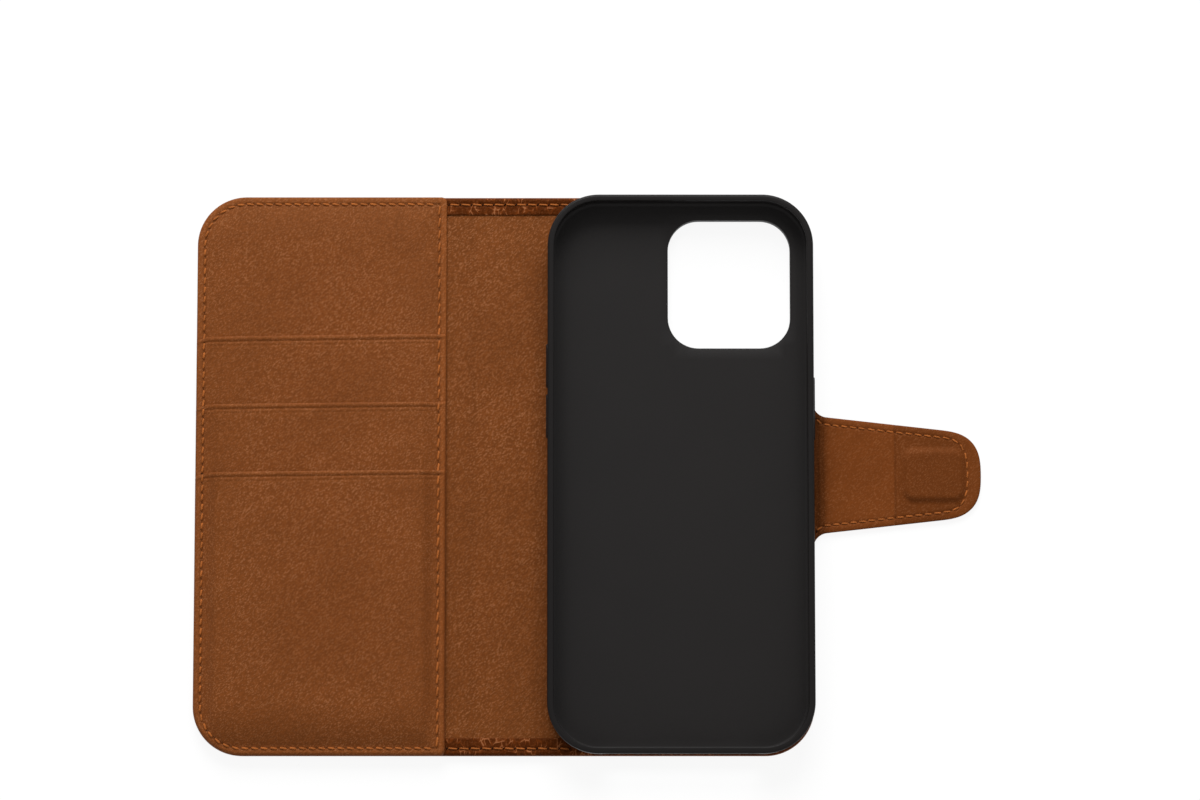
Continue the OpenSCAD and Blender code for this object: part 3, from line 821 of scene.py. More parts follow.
def thread_material():
    """Waxed twisted thread."""
    name = "Waxed thread"
    if name in bpy.data.materials:
        return bpy.data.materials[name]
    twist_scale, twist_bend, twist_shade = 900.0, 1.5, 0.16
    wear_scale = 420.0
    wear_detail = 3.0
    wear_low = 0.65
    wear_high = 1.0
    rough_low = 0.45
    rough_high = 0.6
    strength = 0.6
    depth = 0.05 * MM
    shine = 0.12
    material, nodes, shader, place = new_material(name)
    twist = nodes.add("ShaderNodeTexWave", {"Vector": place, "Scale": twist_scale, "Distortion": twist_bend},
                      bands_direction="DIAGONAL").outputs["Fac"]
    wear = nodes.noise(place, wear_scale, wear_detail)
    shade = nodes.plus(nodes.spread(wear, wear_low, wear_high), nodes.times(twist, twist_shade))
    shader.inputs["Specular Tint"].default_value = solid(setting("leather").sheen)
    picture = nodes.tint(setting("seams").colour, shade)
    nodes.finish(shader, picture, nodes.spread(wear, rough_low, rough_high), twist, strength, depth, shine)
    return material


def mottled(name, base, size, rough, spread, depth, metallic=0.0, shine=0.5):
    """Plain surface with a fine uneven texture, for holes, boards, steel, bond and plastic."""
    if name in bpy.data.materials:
        return bpy.data.materials[name]
    fine_detail = 4.0
    fine_rough = 0.6
    broad_scale = 45.0
    broad_detail = 2.0
    broad_shade, rough_spread, strength = 0.05, 0.04, 0.5
    material, nodes, shader, place = new_material(name)
    fine = nodes.noise(place, 1 / size, fine_detail, fine_rough)
    broad = nodes.noise(place, broad_scale, broad_detail)
    shade = nodes.times(nodes.spread(fine, 1 - spread, 1 + spread),
                        nodes.spread(broad, 1 - broad_shade, 1 + broad_shade))
    shader.inputs["Metallic"].default_value = metallic
    roughness = nodes.spread(fine, rough - rough_spread, rough + rough_spread)
    nodes.finish(shader, nodes.tint(base, shade), roughness, fine, strength, depth, shine)
    return material


# Seams

class SeamLine:
    """A row of stitches along a line of points, with its needle holes: each is a place and a direction."""

    def __init__(self, points, pitch):
        spans = [math.dist(a, b) for a, b in zip(points, points[1:])]
        total = sum(spans)
        count = max(1, round(total / pitch))

        def at(distance):
            for (ax, ay), (bx, by), span in zip(points, points[1:], spans):
                if distance <= span or (bx, by) == points[-1]:
                    t = distance / span
                    return ax + (bx - ax) * t, ay + (by - ay) * t, math.atan2(by - ay, bx - ax)
                distance -= span

        self.pitch = total / count
        self.stitches = [at((i + 0.5) * self.pitch) for i in range(count)]
        self.holes = [at(i * self.pitch) for i in range(count + 1)]


def dimples(lines):
    """Function that gives how far the leather is drawn in at the needle holes of these lines."""
    width = 0.42 * MM
    holes = [hole for line in lines for hole in line.holes]
    tree = kdtree.KDTree(len(holes))
    for i, (x, y, _) in enumerate(holes):
        tree.insert((x, y, 0), i)
    tree.balance()
    return lambda x, y: ridge(tree.find((x, y, 0))[2], 0, width)


class Stitcher:
    """Builds the stitches and needle holes of a surface, on its upper or lower side."""

    SIDES, RINGS, GAP = 8, 8, 0.4 * MM
    TAPER, DIVE, FLATNESS = 0.82, 0.5, 0.36
    HOLE_SIDES, HOLE_LENGTH, HOLE_WIDTH = 10, 0.58 * MM, 0.23 * MM
    HOLE_LIFT, HOLE_DEPTH = 0.035 * MM, 0.14 * MM

    def __init__(self, surface, side, share):
        self.seams, self.surface, self.side, self.share = setting("seams"), surface, side, share
        self.points, self.faces, self.kinds = [], [], []

    def stitch(self, x, y, angle, half):
        """Adds a stitch that rises from its two holes and is fullest in the middle."""
        width, rise = self.seams.thread * self.share, self.seams.rise * self.share
        heading = angle - self.side * self.seams.slant * self.share ** 2
        dx, dy = math.cos(heading), math.sin(heading)
        start, end = (self.surface(x + s * half * dx, y + s * half * dy) for s in (-1, 1))
        middle = self.surface(x, y)
        rings = []
        for t in steps(-1, 1, self.RINGS):
            full = math.sqrt(1 - self.TAPER * t ** 4) * width
            arch = (1 - t ** 4) * rise - t ** 6 * self.DIVE * width
            base = middle + (end - start) / 2 * t + ((start + end) / 2 - middle) * t * t
            ring = []
            for a in steps(0, TURN, self.SIDES)[:-1]:
                across, up = math.cos(a) * full / 2, math.sin(a) * full * self.FLATNESS
                ring.append((x + t * half * dx - across * dy, y + t * half * dy + across * dx,
                             base + self.side * (arch + up)))
            rings.append(add_loop(self.points, ring))
        self.add([*bands(rings, True), tuple(rings[0]), tuple(rings[-1])], 0)

    def hole(self, x, y, angle):
        """Adds a needle hole: a slanting cone that is sunk into the leather and coloured dark as painted shade."""
        heading = angle + self.side * self.seams.hole_slant
        dx, dy = math.cos(heading), math.sin(heading)
        z = self.surface(x, y) + self.side * self.HOLE_LIFT
        rim = []
        for a in steps(0, TURN, self.HOLE_SIDES)[:-1]:
            u, v = math.cos(a) * self.HOLE_LENGTH * self.share, math.sin(a) * self.HOLE_WIDTH * self.share
            rim.append((x + u * dx - v * dy, y + u * dy + v * dx, z))
        loop = add_loop(self.points, rim)
        apex = add_loop(self.points, [(x, y, z - self.side * self.HOLE_DEPTH)])[0]
        self.add([tuple(loop), *((a, apex, b) for a, b in zip(loop, loop[1:] + loop[:1]))], 1)

    def add(self, faces, kind):
        """Adds faces of the thread, 0, or of a hole, 1."""
        self.faces += faces
        self.kinds += [kind] * len(faces)


def stitch_object(name, lines, surface, side, share=1.0):
    """Object of the stitches and needle holes of these lines, of that share of the usual size."""
    made = Stitcher(surface, side, share)
    for line in lines:
        for place in line.stitches:
            made.stitch(*place, (line.pitch - made.GAP) / 2)
        for place in line.holes:
            made.hole(*place)
    mesh = bpy.data.meshes.new(name)
    mesh.from_pydata([Vector(p) for p in made.points], [], made.faces)
    mesh.materials.append(thread_material())
    # Needle holes get a near-black colour: painted shade.
    mesh.materials.append(mottled("Needle hole", setting("seams").hole, size=0.3 * MM, rough=0.8, spread=0.2,
                                  depth=0.02 * MM, shine=0.05))
    mesh.polygons.foreach_set("material_index", made.kinds)
    shape = bmesh.new()
    shape.from_mesh(mesh)
    bmesh.ops.recalc_face_normals(shape, faces=shape.faces)
    shape.to_mesh(mesh)
    shape.free()
    mesh.shade_smooth()
    mesh.update()
    return link(name, mesh)


# Surfaces that several pieces share

def cover_half():
    """Outline of the front cover's half."""
    return HalfPanel(FREE_X, SPINE_MID, "cover_fold")


def back_half():
    """Outline of the back panel's half."""
    return HalfPanel(BACK_X, SPINE_MID, "spine_fold")


def panel_loop():
    """Outline of the pocket panel."""
    outer, inner = setting("leather").corner_radius, setting("pockets").inner_radius
    spacing = 0.75 * MM
    return RoundedLoop(PANEL_LOW.x, PANEL_LOW.y, PANEL_RIGHT, PANEL_HIGH.y,
                       (outer, inner, inner, outer), spacing)


def pocket_lines():
    """Seams around the pocket panel: along its outer edges, and along the mouth of the long pocket."""
    seams, corner_steps = setting("seams"), 24
    r = setting("leather").corner_radius - seams.inset
    left, right = PANEL_LOW.x + seams.inset, PANEL_RIGHT - seams.inset
    y = HALF_H - seams.inset
    upper = [(left + r - r * math.sin(a), y - r + r * math.cos(a)) for a in steps(0, QUARTER, corner_steps)]
    lower = [(px, -py) for px, py in reversed(upper)]
    edge = [(right - seams.pitch / 2, y), *upper, *lower, (right - seams.pitch / 2, -y)]
    return [SeamLine(edge, seams.pitch), SeamLine([(right, y), (right, -y)], seams.mouth_pitch)]


class CoverInside:
    """Heights of the pocket panel and of the slip pockets that lie on it, level by level."""

    DIP_WIDTH = 3.6 * MM
    EDGE_RISE, EDGE_STEP = 0.15 * MM, 0.2 * MM
    UNEVEN = 0.05 * MM
    UNEVEN_SIZE = 17 * MM
    UNEVEN_START = 6 * MM
    UNEVEN_SEED = 3
    PULL_WIDTH, HOLE_PULL = 0.42 * MM, 0.14 * MM
    RIM, RIM_WIDTH = 0.75 * MM, 0.5 * MM
    CREASES = ((1.6 * MM, 0.28 * MM, 1.0), (2.8 * MM, 0.3 * MM, 0.55))
    LIP, LIP_WIDTH = 0.3 * MM, 0.4 * MM
    PLY_GAP = 0.01 * MM
    MARGIN_TONE, MARGIN, MARGIN_FADE = 0.14, 1.2 * MM, 0.8 * MM
    MOUTH_TONE, MOUTH, MOUTH_FADE = 0.15, 1 * MM, 1.1 * MM
    SEAM_TONE = 0.12

    def __init__(self):
        self.leather, self.seams, self.pockets = setting("leather"), setting("seams"), setting("pockets")
        self.loop = panel_loop()
        self.lines = pocket_lines()
        self.drawn_in = dimples(self.lines)

    def mouth(self, level, x):
        """Place of a slip pocket's mouth."""
        u = x - PANEL_LOW.x
        dip = self.pockets.corner_dip * (1 - smooth(u / self.DIP_WIDTH))
        return POCKET_FRONTS[level - 1][1].y + self.pockets.tilt * (u - (PANEL_RIGHT - PANEL_LOW.x) / 2) - dip

    def top(self, level, x, y):
        """Height of the panel, level 0, or of slip pocket 1 to 3, where it is."""
        seat = PANEL_HIGH.z + level * POCKET_T
        edge = PANEL_LOW.z + self.EDGE_RISE + self.EDGE_STEP * level
        depth = self.loop.depth(x, y)
        z = edge + (seat - edge) * roll(depth, self.pockets.roll_width)
        z += self.UNEVEN * waves(x, y, self.UNEVEN_SIZE, self.UNEVEN_SEED + level) * smooth(
            depth / self.UNEVEN_START)
        z += self.pockets.puff * swell(depth - self.pockets.seam_width, self.pockets.puff_width)
        pull = ridge(depth, self.seams.inset, self.PULL_WIDTH)
        z -= pull * (self.leather.groove + self.HOLE_PULL * self.drawn_in(x, y))
        if level == 0:
            return z
        side = min(x - PANEL_LOW.x, PANEL_RIGHT - x)
        raised = smooth((side - self.pockets.seam_width) / self.pockets.slope_width)
        raised *= swell(y - PANEL_LOW.y - self.pockets.seam_width, self.pockets.foot_slope)
        z += raised * (POCKET_FRONTS[level - 1][1].z - seat - self.pockets.puff)
        below = self.mouth(level, x) - y
        z += self.pockets.rim_rise * ridge(below, self.RIM, self.RIM_WIDTH)
        for place, width, share in self.CREASES:
            z -= self.pockets.crease_depth * share * ridge(below, place, width)
        return z - self.LIP * (1 - roll(below, self.LIP_WIDTH))

    def bottom(self, level, x, y):
        """Height of the underside of a slip pocket."""
        return max(self.top(level, x, y) - POCKET_T, self.top(level - 1, x, y) + self.PLY_GAP)

    def surface(self, x, y):
        """Height of whatever lies on top."""
        for level in range(len(POCKET_FRONTS), 0, -1):
            if y < self.mouth(level, x):
                return self.top(level, x, y)
        return self.top(0, x, y)

    def tone(self, x, y, z):
        """Lighter margin outside the seam, painted light along the mouth of the long pocket where its edge slopes
        away from the lamp, darker seam.
        """
        depth = self.loop.depth(x, y)
        margin = self.MARGIN_TONE * (1 - smooth((depth - self.MARGIN) / self.MARGIN_FADE))
        # Painted light along the mouth of the long pocket.
        mouth_light = self.MOUTH_TONE * (1 - smooth((PANEL_RIGHT - x - self.MOUTH) / self.MOUTH_FADE))
        return margin + mouth_light - self.SEAM_TONE * ridge(depth, self.seams.inset, GROOVE_WIDTH)


class Window:
    """Camera window: its outline, and the hole that a sheet has around it."""

    SPACING = 1.2 * MM

    def __init__(self):
        tray = setting("tray")
        low, high = (Vector(corner) for corner in OPENINGS["camera_window"])
        x, y = (low.x + high.x) / 2, (low.y + high.y) / 2
        w, h = tray.window_width / 2, tray.window_height / 2
        self.loop = RoundedLoop(x - w, y - h, x + w, y + h, (tray.window_radius,) * 4, self.SPACING)

    def path(self, grow):
        """Outline that far outside the window."""
        loop = self.loop
        grown = RoundedLoop(loop.low_x - grow, loop.low_y - grow, loop.high_x + grow, loop.high_y + grow,
                            tuple(r + grow for r in loop.radii), self.SPACING)
        grown.arcs, grown.runs = loop.arcs, loop.runs
        return grown.path(0)

    def clear_of(self, grow):
        """Test that keeps points that far outside the window."""
        return lambda x, y: self.loop.depth(x, y) < -grow


def half_sheet(half, rows, inner, window_rows=None):
    """Points and faces of a sheet on one half of the case. Window rows give it the camera window's hole."""
    clearance = 0.8 * MM
    if window_rows is None:
        return sheet(half.path, rows, half.grid(inner), False)
    window, tray = Window(), setting("tray")
    keep = window.clear_of(tray.collar + tray.collar_gap + clearance)
    return sheet(half.path, rows, half.grid(inner, keep), False, (window.path, window_rows))


# Operators

class FOLIO_OT_outer_leather(bpy.types.Operator):
    """Make the outer leather with its turned edges and hems"""

    bl_idname = "folio.outer_leather"
    bl_label = "Outer leather"

    SEAM_BAND = (1.4 * MM, 3.2 * MM)
    SEAM_ROWS = 9
    BAND_SIDE = 3.6 * MM
    EDGE_ROWS, HEM_ROWS = 14, 4
    GATHER = 0.11 * MM
    GATHER_SIZE = 2.1 * MM
    GATHER_START = 0.8 * MM
    GATHER_SEED = 5
    HEM_END = 0.2 * MM
    HEM_ROUND = 0.12 * MM
    HEM_UNDER = 0.15 * MM
    BOARD_INSET = 0.75 * MM
    WINDOW_ROUND, WINDOW_RISE = 0.3 * MM, 0.2 * MM
    CREASE_SHADE, UPWARD = 0.12, 0.5

    def rows(self, half, inner):
        """Edge of the leather from the outer face, round the turned edge and over the hem, to the inside."""
        leather_set, seams = setting("leather"), setting("seams")
        width, edge = leather_set.hem_width, leather_set.edge_depth

        def groove(x, y):
            return leather_set.groove * ridge(half.depth(x, y), seams.inset, GROOVE_WIDTH)

        def outside(x, y):
            return groove(x, y) + leather_set.groove * fold_crease(x)

        def hem(x, y):
            gather = self.GATHER * (waves(x, y, self.GATHER_SIZE, self.GATHER_SEED) - 1)
            gather *= smooth((half.depth(x, y) - self.GATHER_START) / MM)
            return HEM_TOP + (gather - groove(x, y)) * beside(x, SPINE_MID, CUT_CALM)

        band_rows = steps(*self.SEAM_BAND, self.SEAM_ROWS)
        found = [(inset, outside) for inset in (inner, self.BAND_SIDE, *reversed(band_rows))]
        found += [(edge * (1 - math.cos(a)), flat(HEM_TOP / 2 * (1 + math.sin(a))))
                  for a in steps(-QUARTER, QUARTER, self.EDGE_ROWS)]
        found += [(inset, hem)
                  for inset in (*band_rows, *steps(self.BAND_SIDE, width - self.HEM_END, self.HEM_ROWS))]
        found += [(width, lambda x, y: hem(x, y) - self.HEM_ROUND),
                  (width, flat(LINING_TOP + self.HEM_ROUND)), (width - self.HEM_UNDER, flat(LINING_TOP)),
                  (self.BOARD_INSET, flat(LINING_TOP)), (self.BOARD_INSET, flat(OUTER_TOP)),
                  (inner, flat(OUTER_TOP))]
        return found

    def execute(self, context):
        leather_set, tray = setting("leather"), setting("tray")
        materials = [leather("Outer leather", leather_set.outer, relief=1.0), hem_leather()]
        inner, grow = leather_set.hem_width - HEM_MARGIN, tray.collar + tray.collar_gap
        window_rows = [(grow + self.WINDOW_ROUND, flat(0)), (grow, flat(self.WINDOW_RISE)),
                       (grow, flat(OUTER_TOP))]

        # Painted shade along the two folds of the spine.
        def tone(x, y, z):
            return -self.CREASE_SHADE * fold_crease(x)

        def hem_face(middle, normal):
            return 1 if middle.z > LINING_TOP and normal.z > self.UPWARD else 0

        for name, half, window, fold, nodes in (
                ("cover_leather", cover_half(), None, "cover_fold",
                 ("cover_outer_leather", "cover_fold_leather", "spine_outer_leather")),
                ("back_leather", back_half(), window_rows, "spine_fold",
                 ("back_outer_leather", "spine_fold_leather"))):
            points, faces = half_sheet(half, self.rows(half, inner), inner, window)
            piece = new_object(name, points, faces, materials, hem_face, tone)
            bends(piece, fold, nodes)
        return {"FINISHED"}


class FOLIO_OT_lining(bpy.types.Operator):
    """Make the lining that crosses the spine between the hems"""

    bl_idname = "folio.lining"
    bl_label = "Lining"

    TUCK, CREASE, CREASE_SPAN = 0.8 * MM, 0.07 * MM, 0.9 * MM
    UNEVEN = 0.03 * MM
    UNEVEN_SIZE = 9 * MM
    UNEVEN_SEED = 2
    CUT_WIDTH = 2 * MM
    FOLD_TONE, FOLD_TONE_WIDTH = 0.05, 1.5 * MM

    def make(self, name, half, fold, window_rows):
        """Lining of one half of the case."""
        leather_set, x_fold = setting("leather"), FOLD_X[fold]
        inner = leather_set.hem_width - HEM_MARGIN

        def top(x, y):
            sag = self.UNEVEN * (1 + waves(x, y, self.UNEVEN_SIZE, self.UNEVEN_SEED))
            return LINING_TOP - self.CREASE * ridge(x, x_fold, self.CREASE_SPAN) - sag * beside(
                x, SPINE_MID, self.CUT_WIDTH)

        # Painted shade along the fold.
        def tone(x, y, z):
            return -self.FOLD_TONE * ridge(x, x_fold, self.FOLD_TONE_WIDTH)

        rows = [(inner, flat(LINING_LOW)), (self.TUCK, flat(LINING_LOW)), (self.TUCK, top), (inner, top)]
        points, faces = half_sheet(half, rows, inner, window_rows)
        material = leather("Lining leather", leather_set.lining, relief=1.6)
        return new_object(name, points, faces, [material], None, tone)

    def execute(self, context):
        tray = setting("tray")
        grow = tray.collar + tray.collar_gap
        cover = self.make("cover_lining_sheet", cover_half(), "cover_fold", None)
        bends(cover, "cover_fold", ("cover_lining", "cover_fold_lining", "spine_lining"))
        back = self.make("back_lining_sheet", back_half(), "spine_fold",
                         [(grow, flat(LINING_LOW)), (grow, flat(LINING_TOP))])
        bends(back, "spine_fold", ("back_lining", "spine_fold_lining"))
        return {"FINISHED"}


# Values that the panel and the slip pockets share
POCKET_RELIEF = 1.5
POCKET_FILL = 8 * MM
EDGE_INSETS = (0, 0.06 * MM, 0.15 * MM, 0.3 * MM)


class FOLIO_OT_pocket_panel(bpy.types.Operator):
    """Make the panel that carries the pockets"""

    bl_idname = "folio.pocket_panel"
    bl_label = "Pocket panel"

    SEAM_BAND = (0.5 * MM, 3.2 * MM)
    SEAM_ROWS = 14
    INNER_ROWS = (4 * MM, 5.5 * MM)
    UNDER_INSET, UNDER_ROUND, FILL_SPACING = 0.3 * MM, 0.05 * MM, 3 * MM

    def execute(self, context):
        inside = CoverInside()
        insets = (*EDGE_INSETS, *steps(*self.SEAM_BAND, self.SEAM_ROWS), *self.INNER_ROWS, POCKET_FILL)

        def top(x, y):
            return inside.top(0, x, y)

        low = PANEL_LOW.z
        rows = [(POCKET_FILL, flat(low)), (self.UNDER_INSET, flat(low)), (0, flat(low + self.UNDER_ROUND))]
        rows += [(inset, top) for inset in insets]
        points, faces = sheet(inside.loop.path, rows, inside.loop.grid(POCKET_FILL, self.FILL_SPACING), True)
        material = leather("Pocket leather", setting("leather").pockets, POCKET_RELIEF)
        rides(new_object("pocket_panel_sheet", points, faces, [material], None, inside.tone), "front_cover",
              ("pocket_panel",))
        return {"FINISHED"}


class FOLIO_OT_slip_pockets(bpy.types.Operator):
    """Make the three slip pockets with their soft mouths and sloping sides"""

    bl_idname = "folio.slip_pockets"
    bl_label = "Slip pockets"

    SEAM_BAND = (0.45 * MM, 3.3 * MM)
    SEAM_ROWS = 19
    INNER_START = 3.7 * MM
    INNER_ROWS = 9
    UNDER_BAND = (7 * MM, 3 * MM)
    UNDER_ROWS = 5
    UNDER_EDGE = (1.5 * MM, 0.4 * MM, 0)
    MOUTH_RADII = (0.5 * MM, 0.9 * MM)
    SPACING = 0.75 * MM
    FILL_SPACING = 1.7 * MM
    MOUTH_PULL = 20 * MM

    def execute(self, context):
        inside = CoverInside()
        material = leather("Pocket leather", setting("leather").pockets, POCKET_RELIEF)
        foot_radii = (setting("leather").corner_radius, setting("pockets").inner_radius)
        insets = (*EDGE_INSETS, *steps(*self.SEAM_BAND, self.SEAM_ROWS),
                  *steps(self.INNER_START, POCKET_FILL, self.INNER_ROWS))
        under = (POCKET_FILL, *steps(*self.UNDER_BAND, self.UNDER_ROWS), *self.UNDER_EDGE)
        for level, name in enumerate(POCKET_NAMES, 1):
            mouth_y = POCKET_FRONTS[level - 1][1].y
            loop = RoundedLoop(PANEL_LOW.x, PANEL_LOW.y, PANEL_RIGHT, mouth_y,
                               (*foot_radii, *self.MOUTH_RADII), self.SPACING)

            def placed(points, level=level, mouth_y=mouth_y):
                found = []
                for x, y in points:
                    share = smooth(1 - (mouth_y - y) / self.MOUTH_PULL)
                    found.append((x, y + share * (inside.mouth(level, x) - mouth_y)))
                return found

            def path(inset, loop=loop, placed=placed):
                return placed(loop.path(inset))

            def top(x, y, level=level):
                return inside.top(level, x, y)

            def bottom(x, y, level=level):
                return inside.bottom(level, x, y)

            rows = [(inset, bottom) for inset in under] + [(inset, top) for inset in insets]
            points, faces = sheet(path, rows, placed(loop.grid(POCKET_FILL, self.FILL_SPACING)), True)
            piece = new_object(f"{name}_slip_pocket", points, faces, [material], None, inside.tone)
            rides(piece, "front_cover", (f"slip_pocket_{name}", f"{name}_pocket_gusset"))
        return {"FINISHED"}


class StrapShape:
    """Outline of the strap: a flared root, straight tapering edges and a round tip."""

    COLUMN = 0.6 * MM
    TIP_COLUMN = 0.55 * MM
    FOLD_COLUMN = 0.25 * MM
    FILL_ROWS = 64
    CLEARANCE = 0.3 * MM
    TIP_STEPS = 60
    SEAM_TIP_STEPS = 40
    ROOT_SEAM_STEPS = 20
    TIP_SEAM_STEPS = 10
    ROOT_SEAM = 0.9 * MM
    TIP_DRAW = 0.17
    DRAWN_OUT = 0.2
    DRAWN_END = 0.83
    LEAST = 1e-6

    def __init__(self):
        strap = setting("strap")
        self.flare, self.tip_radius = strap.flare, strap.tip_radius
        self.half_root = strap.root_width / 2
        self.tip_x = TIP_X - strap.tip_radius
        run = self.tip_x - BACK_X
        self.taper = math.acos(strap.tip_radius / math.hypot(run, self.half_root))
        self.taper -= math.atan2(run, self.half_root)
        self.flare_y = self.half_root + self.flare * (1 - math.sin(self.taper)) / math.cos(self.taper)

    def half(self, x):
        """Half of the strap's width."""
        reach = BACK_X + self.flare * (1 - math.sin(self.taper))
        if x >= reach:
            return self.half_root - (x - BACK_X) * math.tan(self.taper)
        if x <= BACK_X:
            return self.flare_y
        return self.flare_y - math.sqrt(self.flare ** 2 - (x - BACK_X - self.flare) ** 2)

    def tip_end(self, inset):
        """Place where the straight edges meet the round tip."""
        return self.tip_x + (self.tip_radius - inset) * math.sin(self.taper)

    def edge(self, x, inset):
        """Half width at that distance inside the edge."""
        return self.half(x) - inset / math.cos(self.taper)

    def fullness(self, angle):
        """How much fuller than a circle the tip is in that direction: most at its two shoulders."""
        return 1 + setting("strap").shoulder * math.sin(math.pi * angle / (QUARTER - self.taper)) ** 2

    def tip_arc(self, inset, count):
        """Points of the round tip, from its lower to its upper side."""
        turn = QUARTER - self.taper
        found = []
        for a in steps(-turn, turn, count):
            r = (self.tip_radius - inset) * self.fullness(a)
            found.append((self.tip_x + r * math.cos(a), r * math.sin(a)))
        return found

    def tip_columns(self, last, spacing):
        """Places from the middle of the strap's side towards the tip."""
        zone = setting("leather").strap_zone
        return columns(STRAP_MID, last, FOLD_X["strap_crease"], zone, spacing, self.FOLD_COLUMN)

    def tip_path(self, inset):
        """Open loop from the middle of the strap's side, round the tip and back."""
        end = self.tip_end(0)
        share = (self.tip_end(inset) - STRAP_MID) / (end - STRAP_MID)
        xs = [STRAP_MID + (x - STRAP_MID) * share for x in self.tip_columns(end, self.COLUMN)]
        lower = [(x, -self.edge(x, inset)) for x in xs]
        return lower + self.tip_arc(inset, self.TIP_STEPS)[1:-1] + [(x, -y) for x, y in reversed(lower)]

    def depth(self, x, y):
        """Distance from a point to the strap's edge."""
        past = x - self.tip_x
        if past > 0 and abs(y) < past / max(math.tan(self.taper), self.LEAST):
            return self.tip_radius - math.hypot(past, y) / self.fullness(math.atan2(y, past))
        return (self.half(x) - abs(y)) * math.cos(self.taper)

    def tip_grid(self, inset):
        """Points that fill the tip's side of the strap, with the cut's own points."""
        ys = steps(-self.half_root, self.half_root, self.FILL_ROWS)
        return [(x, y) for x in self.tip_columns(TIP_X, self.TIP_COLUMN) for y in ys
                if self.depth(x, y) > inset + self.CLEARANCE]

    def pad(self, x, y):
        """Share of the magnet pad's height."""
        strap = setting("strap")
        corner = strap.pad_corner
        u = abs(x - (MAGNET_LOW.x + MAGNET_HIGH.x) / 2) - (MAGNET_HIGH.x - MAGNET_LOW.x) / 2
        v = abs(y) - (MAGNET_HIGH.y - MAGNET_LOW.y) / 2
        u, v = u - strap.pad_margin + corner, v - strap.pad_margin + corner
        away = math.hypot(max(u, 0), max(v, 0)) + min(max(u, v), 0) - corner
        return 1 - smooth(away / strap.pad_slope)

    def seam_depth(self, x, y):
        """Distance from a point to the edge, drawn out at the tip, where the seam lies farther in."""
        past = max(0.0, x - self.tip_x)
        return self.depth(x + past * self.DRAWN_OUT * smooth(past / self.tip_radius / self.DRAWN_END), y)

    def lines(self, part):
        """Seams along the strap's edges, for the root part or the tip part."""
        seams = setting("seams")

        def along(first, last, count):
            return [(x, -self.edge(x, seams.inset)) for x in steps(first, last, count)]

        def mirrored(points):
            return [(x, -y) for x, y in points]

        if part == "root":
            low = along(BACK_X + self.ROOT_SEAM, STRAP_MID, self.ROOT_SEAM_STEPS)
            return [SeamLine(low, seams.pitch), SeamLine(mirrored(low), seams.pitch)]
        low = along(STRAP_MID, self.tip_end(seams.inset), self.TIP_SEAM_STEPS)
        tip = []
        for x, y in self.tip_arc(seams.inset, self.SEAM_TIP_STEPS)[1:-1]:
            past = x - self.tip_x
            tip.append((self.tip_x + past * (1 - self.TIP_DRAW * smooth(past / self.tip_radius)), y))
        return [SeamLine(low + tip + mirrored(reversed(low)), seams.pitch)]


